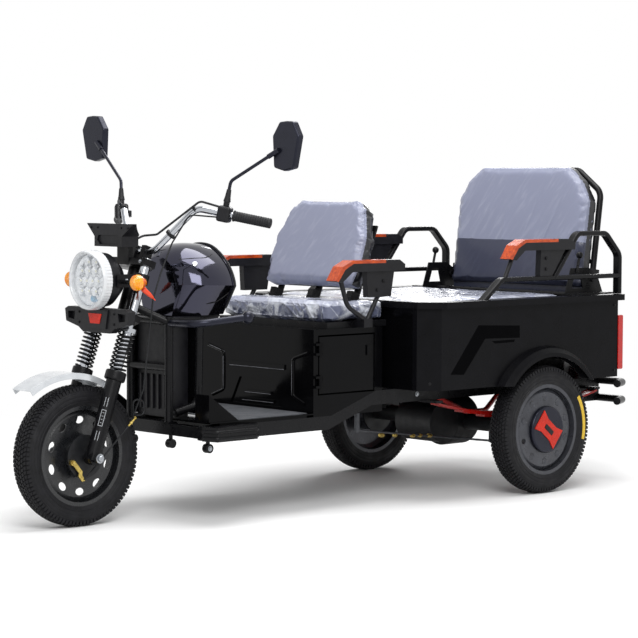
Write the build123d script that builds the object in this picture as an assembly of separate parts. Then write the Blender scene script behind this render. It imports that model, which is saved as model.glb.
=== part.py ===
from build123d import *
import math
import os

# Electric cargo tricycle: one steered front wheel, a driver's bench over a battery box and
# an open steel bed with a passenger bench over the driven rear axle.
# X runs forward, Y to the rider's left and Z up from the ground. Lengths are millimetres.
# Places along X are measured from the rear axle; the last step moves the whole machine so
# that its origin lies on the ground under the middle of its footprint.

# Wheels
wheelbase = 1730.0
rear_track = 886.0
tyre_radius = 228.5
tyre_width = 80.0
shoulder_drop = 15.0
shoulder_inset = 5.0
bead_radius = 152.0
bead_width = 60.0
flange_height = 9.5
rim_wall = 3.0
disc_wall = 4.0
rim_holes = 10
rim_hole_ring = 116.0
rim_hole_length = 34.0
rim_hole_width = 24.0
brake_plate_radius = 70.0
front_hub_radius = 52.0
front_hub_width = 84.0
front_axle_radius = 8.0
rear_hub_radius = 74.0
rear_cap_height = 16.0
rear_cap_radius = 84.0
rear_disc_wall = 9.0
dimple_sphere = 20.0
dimple_depth = 5.0
spindle_radius = 15.0
bearing_gap = 0.4

# Front fork and steering
fork_rake = 19.5
fork_half_spacing = 88.0
lower_leg_radius = 25.0
fork_tube_radius = 15.5
leg_top = 256.0
collar_top = 288.0
collar_radius = 34.0
spring_radius = 26.5
spring_wire = 3.2
spring_turns = 9
spring_length = 128.0
seat_ring_height = 14.0
steering_offset = 35.0
lower_clamp_base = 455.0
clamp_thickness = 22.0
stay_reach = 41.5494
top_clamp_base = 640.0
stem_radius = 12.5
head_tube_radius = 25.0
bar_radius = 11.0
bar_height = 704.0
fit_gap = 0.3

# Handlebar corners, left half, from the middle outwards
bar_middle = (wheelbase - 270.0, 62.0, 880.0)
bar_peak = (wheelbase - 342.0, 190.0, 1022.0)
bar_end = (wheelbase - 479.0, 393.0, 975.0)
grip_length = 128.0
grip_radius = 16.5
pod_from_end = 152.0
cable_radius = 2.6
mirror_reach = 224.0
mirror_back = 49.0
mirror_rise_left = 174.0
mirror_rise_right = 207.0
mirror_half = 62.0
mirror_depth = 22.0
stem_tube = 5.5

# Lamps and front trim
lamp_x = wheelbase - 75.0
lamp_z = 790.0
lamp_radius = 97.0
lens_radius = 84.0
indicator_x = wheelbase - 113.0
indicator_y = 173.0
indicator_z = 786.0
trim_back = wheelbase - 110.0
trim_half = 168.0
trim_depth = 28.0
cowl_base = 897.0
cowl_top = 971.0
fender_half = 48.0
fender_rear = (wheelbase - 118.0, 444.0)
fender_crown = (wheelbase + 10.0, 496.0)
fender_tip = (wheelbase + 214.0, 451.0)

# Frame
frame_half = 300.0
rail_width = 40.0
rail_height = 46.0
rail_low = 300.0
rail_high = 370.0
rail_front = wheelbase - 290.0
kick_bottom = 900.0
kick_top = 690.0
rail_rear = -380.0
floor_top = 336.0
floor_sheet = 4.0
floor_front = wheelbase - 305.0
cage_front = wheelbase - 302.0
cage_rear = cage_front - 110.0
tank_base = 668.3
tank_rear = cage_front - 215.0
tank_top = 904.0
step_reach = 352.0

# Driver's box and bench
box_front = 970.0
box_rear = 650.0
box_top = 615.0
box_sheet = 4.0
bench_half = 285.0
post_places = (-197.0, 0.0, 197.0)
post_half = 13.0
post_x = 706.0
bench_front = 895.0
bench_rear = 606.0
cushion_base = 636.0
cushion_top = 704.0
backrest_thickness = 62.0
backrest_lean = 21.0
armrest_half_width = 25.0
front_arm = (584.0, 806.0, 318.0, 322.0)   # rear end x, underside z, middle y, length
rear_arm = (-159.0, 868.0, 440.0, 342.0)
door_gap = 5.5
door_base = 400.0
door_top = 590.0
hinge_pin = 4.0

# Bed
bed_half = 465.0
bed_front = 588.0
bed_rear = -400.0
bed_floor = 396.0
bed_lip = 700.0
bed_sheet = 4.0
lip_outer = (25.0, 18.0, 12.0)      # from the side, the cut corner and the front
lip_inner = (-45.0, -26.0, -16.0)
corner_cut = 60.0
arch_radius = 262.0
flare_radius = 300.0
flare_reach = 40.0
liner_gap = 25.0
gate_half = 424.0
gate_hinge_height = 408.0
plate_hole_spacing = 160.0
plate_hole_height = 560.0
plate_hole_radius = 3.0
deck_top = 644.0
rail_half = 440.0
loop_height = 767.0
hoop_height = 924.0

# Passenger bench
rear_bench_half = 396.0
rear_bench_front = 572.0
rear_bench_rear = -212.0
deck_rear = -374.0
rear_back_half = 345.0
rear_back_base = 706.0
rear_back_lean = 8.0
rear_pivot_x = -368.0
rear_pivot_z = 748.0
pivot_pin = 7.0

spring_eye = 332.0

# Rear bumper
bumper_reach = 525.0
bumper_tube = 14.0
bumper_half = 400.0
bumper_upper = 365.0
bumper_lower = 300.0

door_rear = box_rear + 42
door_front = box_front - 26
hinge_x = door_front + 2
hinge_y = frame_half + 8
rake = math.radians(fork_rake)
flange_radius = bead_radius + flange_height
half_track = rear_track / 2
front_wall_half = bed_half - corner_cut - 20
origin_shift = (bumper_reach - wheelbase - tyre_radius) / 2

fork_plane = Plane(
    origin=(wheelbase, 0, tyre_radius),
    x_dir=(math.cos(rake), 0, math.sin(rake)),
    z_dir=(-math.sin(rake), 0, math.cos(rake)),
)


def block(x0, x1, y0, y1, z0, z1):
    """A box between two corners."""
    return Pos((x0 + x1) / 2, (y0 + y1) / 2, (z0 + z1) / 2) * Box(abs(x1 - x0), abs(y1 - y0), abs(z1 - z0))


def both_sides(shape):
    """The shape and its mirror image across the machine's middle plane."""
    return [shape, mirror(shape, about=Plane.XZ)]


def group(shapes):
    """Several separate solids in one piece of the tree."""
    solids = []
    for shape in shapes:
        solids.extend(shape.solids())
    return Compound(children=solids)


def along_y(shape):
    """A shape made about Z, laid over so that its axis runs along Y."""
    return Rot(-90, 0, 0) * shape


def along_x(shape):
    """A shape made about Z, laid over so that its axis runs along X."""
    return Rot(0, 90, 0) * shape


def disc_y(radius, y0, y1, x=0.0, z=0.0):
    """A cylinder about a line along Y."""
    return Pos(x, (y0 + y1) / 2, z) * along_y(Cylinder(radius, abs(y1 - y0)))


def tube(points, radius, bend=None):
    """A round bar along straight runs joined by arcs."""
    path = Polyline(*points) if bend is None else FilletPolyline(*points, radius=bend)
    section = Plane(origin=path @ 0, z_dir=path % 0) * Circle(radius)
    return sweep(section, path=path)


def flat_bar(points, width, thickness, bend):
    """A bar with flat sides along a path in an upright plane; its width lies along Y."""
    path = FilletPolyline(*points, radius=bend)
    tangent = path % 0
    section = Plane(origin=path @ 0, x_dir=(0, 1, 0), z_dir=tangent) * RectangleRounded(
        width, thickness, thickness * 0.4
    )
    return sweep(section, path=path)


def slab(points, y0, y1):
    """An outline in the XZ plane, given as (x, z) points, pulled across from y0 to y1."""
    face = make_face(Polyline(*[(x, 0, z) for x, z in points], close=True))
    return Pos(0, y0, 0) * extrude(face, amount=y1 - y0, dir=(0, 1, 0))


def turned(outline):
    """An outline of (radius, place along Y) points turned about the Y axis."""
    return revolve(make_face(Polyline(*outline, close=True)), axis=Axis.Y)


def fork_at(x, y, z):
    """A place in the fork's own frame: forward of the legs, to the left, up the legs."""
    return fork_plane.from_local_coords(Vector(x, y, z))


def fork_part(shape):
    """A shape drawn in the fork's own frame, put in its place."""
    return fork_plane.location * shape


def tyre():
    """A tyre about the Y axis, seated between its rim's flanges."""
    bead = bead_width / 2
    lip = bead + rim_wall
    half = tyre_width / 2
    shoulder = tyre_radius - shoulder_drop
    bulge = (flange_radius + shoulder) / 2
    tread = half - shoulder_inset
    edges = [
        Polyline((flange_radius, -lip), (flange_radius, -bead), (bead_radius, -bead), (bead_radius, bead),
                 (flange_radius, bead), (flange_radius, lip)),
        ThreePointArc((flange_radius, lip), (bulge, half), (shoulder, tread)),
        ThreePointArc((shoulder, tread), (tyre_radius, 0), (shoulder, -tread)),
        ThreePointArc((shoulder, -tread), (bulge, -half), (flange_radius, -lip)),
    ]
    return revolve(make_face(edges), axis=Axis.Y)


def rim_barrel():
    """The rolled rim that carries a tyre."""
    bead = bead_width / 2
    lip = bead + rim_wall
    inside = bead_radius - rim_wall
    return turned([
        (bead_radius, -bead), (bead_radius, bead), (flange_radius, bead), (flange_radius, lip),
        (inside, lip), (inside, -lip), (flange_radius, -lip), (flange_radius, -bead),
    ])


def dished_disc(hub_radius, hub_face, mid_face, edge_face, wall):
    """A pressed wheel disc between the hub and the rim."""
    edge = bead_radius - rim_wall
    mid = rim_hole_ring + rim_hole_width * 0.7
    outer = [(hub_radius - 1, hub_face), (hub_radius + 12, hub_face), (mid, mid_face), (edge, edge_face)]
    return turned(outer + [(r, y - wall) for r, y in reversed(outer)])


def on_ring(shape, places):
    """Copies of a shape around a wheel's disc, at some of its evenly spaced places."""
    return [Rot(0, 360 * (i + 0.5) / rim_holes, 0) * Pos(rim_hole_ring, 0, 0) * shape for i in places]


def front_rim():
    """Front rim, slotted disc and brake hub in one."""
    half = front_hub_width / 2
    hub = disc_y(front_hub_radius, -half, half)
    slot = along_y(extrude(Ellipse(rim_hole_width / 2, rim_hole_length / 2), amount=60, both=True))
    disc = dished_disc(front_hub_radius, 14, 20, 12, disc_wall) - on_ring(slot, range(rim_holes))
    return rim_barrel() + disc + hub - disc_y(front_axle_radius + bearing_gap, -half - 1, half + 1)


def rear_rim():
    """Left rear rim and dimpled disc with the brake drum behind it."""
    drum_inner = -bead_width / 2 - 22
    hub_face = 26
    drum = disc_y(rear_hub_radius, drum_inner, hub_face)
    dimple = Pos(0, 23.5 + dimple_sphere - dimple_depth, 0) * Sphere(dimple_sphere)
    disc = dished_disc(rear_hub_radius, hub_face, 22, 10, rear_disc_wall)
    disc -= on_ring(dimple, range(1, rim_holes))
    disc -= on_ring(disc_y(10, -60, 60), [0])
    bore = disc_y(spindle_radius + bearing_gap, drum_inner - 1, hub_face - 8)
    return rim_barrel() + disc + drum - bore


def hub_cap():
    """Black dished cap on the middle of a rear wheel, with a pocket for its red plate."""
    face = 26
    dome = disc_y(rear_cap_radius, face, face + rear_cap_height)
    rim_edge = dome.faces().sort_by(Axis.Y)[-1].edges()
    return fillet(rim_edge, 8) - cap_plate()


def cap_plate():
    """Raised plate shaped like a bow tie across the hub cap."""
    reach = rear_cap_radius * 0.74
    end = rear_cap_radius * 0.48
    waist = rear_cap_radius * 0.34
    bend = reach * 0.45
    outline = Polyline((reach, end), (bend, waist), (-bend, waist), (-reach, end),
                       (-reach, -end), (-bend, -waist), (bend, -waist), (reach, -end), close=True)
    plate = along_y(extrude(make_face(outline), amount=7))
    return Rot(0, -39, 0) * Pos(0, 26 + rear_cap_height - 4, 0) * plate


def wheel_place(left):
    """Middle of a rear wheel."""
    return Pos(0, half_track if left else -half_track, tyre_radius)


def rear_wheel_piece(shape, left):
    """A rear wheel piece drawn for the left, put on either end of the axle."""
    side = shape if left else mirror(shape, about=Plane.XZ)
    return wheel_place(left) * side


def fork_lowers():
    """Lower legs with their axle lugs and spring seats, joined by nothing but the axle."""
    leg = Cylinder(lower_leg_radius, leg_top + 10, align=(Align.CENTER, Align.CENTER, Align.MIN))
    leg = Pos(0, 0, -10) * leg
    collar = Pos(0, 0, leg_top) * Cylinder(
        collar_radius, collar_top - leg_top, align=(Align.CENTER, Align.CENTER, Align.MIN))
    collar = fillet(collar.edges(), 6)
    lug = disc_y(lower_leg_radius - 1, -18, 18)
    bore = disc_y(front_axle_radius + fit_gap, -60, 60)
    one = Pos(0, fork_half_spacing, 0) * (leg + collar + lug - bore)
    return group(both_sides(fork_part(one)))


def fork_tubes():
    """Chrome inner tubes from the lower legs to the top clamp, each with its upper spring ring."""
    top = top_clamp_base + clamp_thickness
    tube_solid = Pos(0, 0, collar_top) * Cylinder(
        fork_tube_radius, top - collar_top + 4, align=(Align.CENTER, Align.CENTER, Align.MIN))
    ring = Pos(0, 0, collar_top + spring_length) * Cylinder(
        spring_radius + spring_wire + 1, seat_ring_height, align=(Align.CENTER, Align.CENTER, Align.MIN))
    return group(both_sides(fork_part(Pos(0, fork_half_spacing, 0) * (tube_solid + ring))))


def fork_springs():
    """Coil springs over the inner tubes."""
    height = spring_length - 2 * spring_wire - 0.4
    helix = Helix(height / spring_turns, height, spring_radius)
    section = Plane(origin=helix @ 0, z_dir=helix % 0) * Circle(spring_wire)
    coil = Pos(0, fork_half_spacing, collar_top + spring_wire + 0.2) * sweep(section, path=helix)
    return group(both_sides(fork_part(coil)))


def clamp_plate(base):
    """One fork clamp, waisted behind the legs so that it clears the cover when it swings."""
    reach = fork_half_spacing + fork_tube_radius + 9
    face = make_face(Polyline(
        (26, -reach), (26, reach), (-20, reach), (-62, 34), (-62, -34), (-20, -reach), close=True))
    plate = Pos(0, 0, base) * extrude(face, amount=clamp_thickness)
    for side in (1, -1):
        plate -= Pos(0, side * fork_half_spacing, base + clamp_thickness / 2) * Cylinder(
            fork_tube_radius, clamp_thickness + 2)
    return plate


def fork_clamps():
    """Both fork clamps on the steering stem, with the handlebar's risers."""
    stem = Pos(-steering_offset, 0, lower_clamp_base) * Cylinder(
        stem_radius, top_clamp_base + clamp_thickness - lower_clamp_base,
        align=(Align.CENTER, Align.CENTER, Align.MIN))
    body = clamp_plate(lower_clamp_base) + clamp_plate(top_clamp_base) + stem
    riser_top = bar_height + bar_radius + 5
    for side in (1, -1):
        riser = block(-54, -20, side * 14, side * 36, top_clamp_base + clamp_thickness, riser_top)
        body += riser
    body -= Pos(-37, 0, bar_height) * along_y(Cylinder(bar_radius + fit_gap, 120))
    return fork_part(body) + cowl_stay() - instrument_cowl()


def handlebar():
    """Chrome bar, bent up and back to the grips."""
    def other(p):
        return (p[0], -p[1], p[2])
    points = [bar_end, bar_peak, bar_middle, other(bar_middle), other(bar_peak), other(bar_end)]
    return tube(points, bar_radius, 48)


def bar_frame():
    """Frame on the left end of the bar: X inwards along the bar, Z square to it and upwards."""
    inward = (Vector(*bar_peak) - Vector(*bar_end)).normalized()
    upward = (Vector(0, 0, 1) - inward * inward.Z).normalized()
    return Plane(origin=bar_end, x_dir=inward, z_dir=upward)


def on_bar(shape):
    """A shape drawn about the left bar end's axis (its X), put in place."""
    return bar_frame().location * shape


def grips():
    """Rubber grips with closed ends."""
    sleeve = Pos(grip_length / 2 - 6, 0, 0) * along_x(Cylinder(grip_radius, grip_length))
    sleeve = fillet(sleeve.edges(), 4)
    bore = Pos(grip_length / 2, 0, 0) * along_x(Cylinder(bar_radius + fit_gap, grip_length + 0.6))
    return group(both_sides(on_bar(sleeve - bore)))


def switch_pods():
    """Switch housings clamped inboard of the grips, with the mirror bosses."""
    pod = Pos(pod_from_end, 0, 0) * Box(44, 46, 52)
    pod = fillet(pod.edges(), 9)
    boss = Pos(pod_from_end, 0, 33) * Cylinder(10, 22)
    thumb = Pos(pod_from_end - 6, -22, -6) * Cylinder(13, 20)
    bore = Pos(pod_from_end, 0, 0) * along_x(Cylinder(bar_radius + fit_gap, 60))
    return group(both_sides(on_bar(pod + boss + thumb - bore)))


def mirror_base():
    """Top of the left mirror boss."""
    return bar_frame().from_local_coords(Vector(pod_from_end, 0, 44 + fit_gap))


def head_plane(rise):
    """Plane of a mirror head on the left: its X points outwards and its Z back to the rider."""
    base = mirror_base()
    return Plane(origin=(base.X - mirror_back, base.Y + mirror_reach, base.Z + rise), x_dir=(0, 1, 0),
                 z_dir=(-1, 0, 0))


def mirror_stem(rise):
    """Mirror stem from its boss to the front of the head, with a thicker sleeve at its end."""
    base = mirror_base()
    bend = bar_frame().from_local_coords(Vector(pod_from_end, 0, 108))
    head = head_plane(rise).origin
    tip = Vector(head.X + 3, head.Y - 27, head.Z - 12)
    sleeve = tip + (bend - tip).normalized() * 46
    return tube([base, bend, tip], stem_tube, 24) + tube([sleeve, tip], stem_tube + 2.5)


def mirror_outline(inset):
    """Mirror outline with rounded corners, slanted on its outer side. Its Y runs down the head."""
    points = [(-29, 77), (3, 79.5), (35, 77), (mirror_half, 31), (38, -70), (-9, -79), (-56, -68),
              (-mirror_half, 33)]
    factor = 1 - inset / mirror_half
    face = make_face(Polyline(*[(y * factor, -z * factor) for y, z in points], close=True))
    return fillet(face.vertices(), 10 * factor)


def mirror_side(rise):
    """Left mirror's stem and rounded head with a pocket for its glass."""
    place = head_plane(rise).location
    head = extrude(mirror_outline(0), amount=mirror_depth, dir=(0, 0, 1))
    head = fillet(head.faces().sort_by(Axis.Z)[0].edges(), 6)
    pocket = Pos(0, 0, mirror_depth - 5) * extrude(mirror_outline(4), amount=10)
    return place * (head - pocket) + mirror_stem(rise) - place * pocket


def mirrors():
    """Mirror stems and heads; the left one hangs lower."""
    return group([mirror_side(mirror_rise_left), mirror(mirror_side(mirror_rise_right), about=Plane.XZ)])


def mirror_glasses():
    """Mirror glass in the rider's side of each head."""
    glass = Pos(0, 0, mirror_depth - 5) * extrude(mirror_outline(4.3), amount=3)
    left, right = [head_plane(rise).location * glass for rise in (mirror_rise_left, mirror_rise_right)]
    return group([left, mirror(right, about=Plane.XZ)])


def lamp_part(profile):
    """A turned lamp piece: (distance ahead of the lamp's face, radius) points."""
    face = make_face(Polyline(*[(x, r, 0) for x, r in profile], close=True))
    return Pos(lamp_x, 0, lamp_z) * revolve(face, axis=Axis.X)


def headlamp_shell():
    """Black bowl behind the lamp."""
    return lamp_part([(0, 0), (0, lamp_radius - 6), (-40, lamp_radius - 10), (-78, lamp_radius - 40),
                      (-88, 30), (-88, 0)])


def headlamp_bezel():
    """Deep white ring around the lens, longer at the top like a short peak."""
    ring = lamp_part([(0, lens_radius), (0, lamp_radius), (28, lamp_radius), (34, lamp_radius - 5),
                      (34, lens_radius)])
    return ring


def headlamp_lens():
    """Round glass over the lamp's rows of diodes."""
    return lamp_part([(0, 0), (0, lens_radius - fit_gap), (20, lens_radius - fit_gap),
                      (24, lens_radius - 8), (26, 0)])


def lamp_bracket():
    """Ears from the fork tubes that carry the headlamp and the indicator stalks."""
    tube_x = fork_tube_x(lamp_z)
    height = (lamp_z - tyre_radius) * math.cos(rake) + (wheelbase - tube_x) * math.sin(rake)
    ring = fork_part(Pos(0, fork_half_spacing, height) * (
        Cylinder(22, 34) - Cylinder(fork_tube_radius + fit_gap, 36)))
    plate = block(tube_x + 16, lamp_x - 18, fork_half_spacing + 4, fork_half_spacing + 8, lamp_z - 22,
                  lamp_z + 20)
    stalk = disc_y(7, fork_half_spacing + 8, indicator_y - 16, indicator_x, indicator_z)
    keep = fork_part(Pos(0, fork_half_spacing, height) * Cylinder(fork_tube_radius + fit_gap, 80))
    return group(both_sides(ring + plate + stalk - keep - headlamp_shell()))


def fork_tube_x(z):
    """Where the fork tubes pass at a height."""
    return wheelbase - (z - tyre_radius) * math.tan(rake)


def indicators():
    """Amber indicators beside the headlamp."""
    profile = [(-30, 0), (-30, 12), (-8, 26), (0, 26), (8, 24), (18, 14), (21, 0)]
    face = make_face(Polyline(*[(x, r, 0) for x, r in profile], close=True))
    bulb = Pos(indicator_x, indicator_y, indicator_z) * revolve(face, axis=Axis.X)
    stalk = disc_y(7 + fit_gap, fork_half_spacing, indicator_y - 15.7, indicator_x, indicator_z)
    return group(both_sides(bulb - stalk))


def yz_panel(points, x0, x1):
    """An outline of (y, z) points pulled from x0 forward to x1."""
    return Pos(x0, 0, 0) * extrude(Plane.YZ * make_face(Polyline(*points, close=True)), amount=x1 - x0)


def front_trim():
    """Black cross panel under the headlamp: end slots, a raised middle and a plate pocket."""
    front = trim_back + trim_depth
    panel = yz_panel([
        (-trim_half, 692), (-150, 700), (150, 700), (trim_half, 692), (162, 652), (96, 636),
        (70, 620), (-70, 620), (-96, 636), (-162, 652)], trim_back, front)
    middle = yz_panel([(-66, 694), (66, 694), (54, 634), (-54, 634)], front - 1, front + 5)
    mount = block(trim_back - 23, trim_back + 2, -40, 40, 655, 685)
    panel += middle + mount
    for side in (1, -1):
        panel -= yz_panel([(side * 112, 686), (side * 152, 684), (side * 150, 662), (side * 118, 658)],
                          front - 14, front + 10)
    return panel - fork_clamps() - trim_plate()


def trim_plate():
    """Red plate in the middle of the cross panel."""
    return yz_panel([(-34, 682), (34, 682), (24, 650), (-24, 650)], trim_back + trim_depth + 2,
                    trim_back + trim_depth + 7)


def instrument_cowl():
    """Instrument housing over the headlamp, flared upwards, with a recess in front."""
    low_rear, low_front = wheelbase - 198, wheelbase - 130
    top_rear, top_front = wheelbase - 216, wheelbase - 138
    low = make_face(Polyline((low_rear, -72), (low_front, -72), (low_front, 72), (low_rear, 72),
                             close=True))
    high = make_face(Polyline((top_rear, -100), (top_front, -123), (top_front, 123), (top_rear, 100),
                              close=True))
    body = loft([Pos(0, 0, cowl_base) * low, Pos(0, 0, cowl_base + 33) * low,
                 Pos(0, 0, cowl_top) * high], ruled=True)
    leaning = slab([(low_rear - 32, 890), (low_rear - 32, 911), (low_front, 990), (low_rear - 52, 990),
                    (low_rear - 52, 890)], -150, 150)
    recess = yz_panel([(-58, 918), (-44, 904), (44, 904), (58, 918), (52, 934), (-52, 934)],
                      low_front - 6, low_front + 20)
    return body - leaning - recess


def cowl_stay():
    """Plate from the top clamp up to the instrument housing."""
    front = clamp_top_front()
    return block(front - 12, front + 6, -30, 30, 838, 912)


def clamp_top_front():
    """How far ahead the top clamp's front face reaches at its upper edge."""
    return fork_at(26, 0, top_clamp_base + clamp_thickness).X


def fender_band(half, skin, depth):
    """A curved bar that follows the mudguard, from skin to depth below its outer face."""
    arc = ThreePointArc(*[(x, 0, z) for x, z in (fender_rear, fender_crown, fender_tip)])
    centre = arc.arc_center
    radius = (arc @ 0 - centre).length

    def at(point, distance):
        away = (Vector(point[0], 0, point[1]) - centre).normalized() * distance
        return (centre.X + away.X, 0, centre.Z + away.Z)

    outer = ThreePointArc(*[at(p, radius - skin) for p in (fender_rear, fender_crown, fender_tip)])
    inner = ThreePointArc(*[at(p, radius - depth) for p in (fender_tip, fender_crown, fender_rear)])
    face = make_face([outer, Line(outer @ 1, inner @ 0), inner, Line(inner @ 1, outer @ 0)])
    return Pos(0, -half, 0) * extrude(face, amount=2 * half, dir=(0, 1, 0))


def front_fender():
    """Arched front mudguard with turned-down edges and tabs to the spring seats."""
    shell = fender_band(fender_half, 0, 20) - fender_band(fender_half - 3, 3, 24)
    legs = fork_lowers()
    for side in (1, -1):
        tab = fork_part(Pos(-6, side * 56, leg_top - 18) * Box(22, 24, 20))
        shell += tab - legs - fender_band(fender_half - 3, 0, 60)
    return shell


def front_axle():
    """Front axle with its end nuts and the brake's fixed plate on the left."""
    reach = fork_half_spacing + lower_leg_radius
    pin = disc_y(front_axle_radius, -reach - 12, reach + 12, wheelbase, tyre_radius)
    nuts = [disc_y(15, side * (reach + 0.2), side * (reach + 10), wheelbase,
                   tyre_radius) for side in (1, -1)]
    plate = disc_y(brake_plate_radius, front_hub_width / 2 + 1, front_hub_width / 2 + 7, wheelbase,
                   tyre_radius)
    leg_face = fork_half_spacing - lower_leg_radius - fit_gap
    spacers = [disc_y(13, side * leg_face, side * (front_hub_width / 2 + 0.6), wheelbase,
                      tyre_radius) for side in (1, -1)]
    return pin + nuts + plate + spacers


def brake_pivot():
    """Middle of the front brake lever's boss, as (x, z)."""
    return (wheelbase + 56, tyre_radius - 16)


def brake_arm():
    """Cranked brake lever on the fixed plate."""
    y0 = front_hub_width / 2 + 7
    x, z = brake_pivot()
    boss = disc_y(9, y0, y0 + 12, x, z)
    arm = slab([(x - 6, z + 7), (x + 8, z + 2), (x - 22, z - 34), (x - 20, z - 44), (x - 34, z - 62),
                (x - 46, z - 60), (x - 34, z - 40), (x - 36, z - 30)], y0 + 7, y0 + 12)
    return boss + arm


def swept(runs, radius):
    """A round bar along several runs, each of (points, bend radius), that follow on without a corner."""
    path = Wire([edge for points, bend in runs for edge in FilletPolyline(*points, radius=bend).edges()])
    return sweep(Plane(origin=path @ 0, z_dir=path % 0) * Circle(radius), path=path)


def cable_stop():
    """Where the brake cable's sleeve begins, behind the left leg."""
    return (wheelbase - 170, 80, 336)


def front_brake_cable():
    """Cable from the brake lever past its stop, round one loop and up to the left switch housing."""
    x, z = brake_pivot()
    lever = (x - 42, front_hub_width / 2 + 19 + cable_radius + fit_gap, z - 56)
    pod = bar_frame()
    joint = (wheelbase - 187, 139, 600)
    low = [lever, cable_stop(), (wheelbase - 166, 84, 404), (wheelbase - 206, 88, 400),
           (wheelbase - 204, 93, 352),
           (wheelbase - 156, 98, 354), (wheelbase - 172, 131, 440), joint]
    high = [joint, (wheelbase - 199, 145.4, 728), (wheelbase - 232, 144, 812), (wheelbase - 282, 140, 908),
            tuple(pod.from_local_coords(Vector(262, 20, -24))), tuple(pod.from_local_coords(
                Vector(pod_from_end + 22 + fit_gap, 15, -14)))]
    return swept([(low, 15), (high, 30)], cable_radius)


def wiring():
    """Sleeves from both switch housings along the bar into the instrument housing."""
    pod = bar_frame()
    one = [tuple(pod.from_local_coords(Vector(pod_from_end + 22.9, 4, 20))),
           tuple(pod.from_local_coords(Vector(236, 16, 26))), (wheelbase - 252, 100, 936),
           (wheelbase - 226, 62, 932), (wheelbase - 199.9, 56, 920)]
    return both_sides(tube(one, 3.6, 22))


def frame():
    """Two box-section side rails with cross members, rear legs and side steps."""
    half_h = rail_height / 2
    top = [(rail_front, rail_low + half_h), (kick_bottom - 12, rail_low + half_h),
           (kick_top - 12, bed_floor - fit_gap), (rail_rear, bed_floor - fit_gap)]
    low = [(rail_rear, rail_high - half_h), (kick_top + 8, rail_high - half_h),
           (kick_bottom, rail_low - half_h), (rail_front, rail_low - half_h)]
    rail = slab(top + low, frame_half - rail_width, frame_half)
    left, right = both_sides(rail)
    out = left + right
    inner = frame_half - rail_width
    for x, z in ((rail_front - 20, rail_low), (rail_front - 240, rail_low), (box_front - 30, rail_low),
                 (kick_top - 60, rail_high - 4), (260, rail_high - 4), (-160, rail_high - 4),
                 (rail_rear + 20, rail_high - 4)):
        out += block(x - 20, x + 20, -inner - 1, inner + 1, z - 18, z + 18)
    for side in (1, -1):
        for x in (-420, 420):
            out += block(x - 16, x + 16, side * (inner + 4), side * 352, spring_eye + 7.2,
                         rail_high - half_h + 1)
        out += side_step(side)
        for y in (100, frame_half - 12):
            out += disc_y(15, side * y - 11, side * y + 11, rail_front - 20, 252)
            out += block(rail_front - 26, rail_front - 14, side * y - 3, side * y + 3, 252, rail_low - 10)
    return out


def side_step(side):
    """Bulge of the floor's side with two ribs, at the front of the left or right rail."""
    def line(inset):
        return [(rail_front + 10 - inset, side * (frame_half - 4)),
                (rail_front - 8, side * (step_reach - inset)),
                (rail_front - 178, side * (step_reach - inset)), (rail_front - 222 + inset,
                                                                  side * (frame_half - 4))]
    plan = make_face(Polyline(*[(x, y, 0) for x, y in line(0)], close=True))
    step = Pos(0, 0, rail_low - rail_height / 2) * extrude(plan, amount=rail_height)
    for z in (rail_low - 13, rail_low + 9):
        step += tube([(x, y, z) for x, y in line(1)], 6, 12)
    return step


def floorboard():
    """Footwell floor with raised front corners."""
    sheet = block(box_front + 0.3, floor_front, -frame_half - 6, frame_half + 6,
                  floor_top - floor_sheet, floor_top)
    shim = block(box_front + 30, rail_front - 60, -frame_half, frame_half, rail_low + rail_height / 2,
                 floor_top - floor_sheet)
    wedge = slab([(floor_front - 125, floor_top), (floor_front, floor_top), (floor_front, 424)],
                 frame_half - 70, frame_half)
    notch = block(cage_front - 30, cage_front + 40, -124, 124, 250, floor_top + 1)
    return sheet + shim + both_sides(wedge) - notch


def steering_axis_x(z):
    """Where the steering axis passes at a height."""
    return wheelbase - (z - tyre_radius) * math.tan(rake) - steering_offset / math.cos(rake)


def head_tube():
    """Tube around the steering stem, between the two clamps."""
    low = lower_clamp_base + clamp_thickness + bearing_gap
    high = top_clamp_base - bearing_gap
    middle = (low + high) / 2
    return fork_part(Pos(-steering_offset, 0, middle) * Cylinder(head_tube_radius, high - low))


def stem_room():
    """Space kept free for the steering stem."""
    low = lower_clamp_base + clamp_thickness
    length = top_clamp_base - low + 20
    return fork_part(Pos(-steering_offset,
                         0, low + length / 2 - 10) * Cylinder(stem_radius + bearing_gap, length))


def front_column():
    """Head tube on its cage of upright tubes, with a foot plate on the front cross member."""
    top = tank_base - 1.3
    low = lower_clamp_base + clamp_thickness + bearing_gap
    joint = tyre_radius + (low + stay_reach) * math.cos(rake) - steering_offset * math.sin(rake)
    tubes = []
    for side in (1, -1):
        tubes.append(tube([(cage_front, side * 100, 276), (cage_front, side * 100, top)], 14))
        tubes.append(tube([(cage_front - 24, side * 104, 352), (cage_rear + 4, side * 122, 376),
                           (cage_rear, side * 124, top - 5)], 13.5, 40))
        tubes.append(tube([(cage_rear, side * 124, top - 12), (cage_front, side * 100, top - 12)], 13))
        tubes.append(tube([(cage_front, side * 100, top - 17),
                           (steering_axis_x(joint), side * 18, joint)], 13))
        tubes.append(tube([(cage_front - 28, side * 100, 350), (cage_front, side * 100, 350)], 12))
    for z in (500, top - 15):
        tubes.append(tube([(cage_front, -100, z), (cage_front, 100, z)], 12))
    tubes.append(block(cage_front - 22, cage_front + 14, -116, 116, rail_low + 18, rail_low + 24))
    cage = head_tube()
    for piece in tubes:
        cage += piece
    return cage - stem_room() - block(cage_front - 228, cage_front + 72, -200, 200, 200, rail_low + 18)


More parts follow.
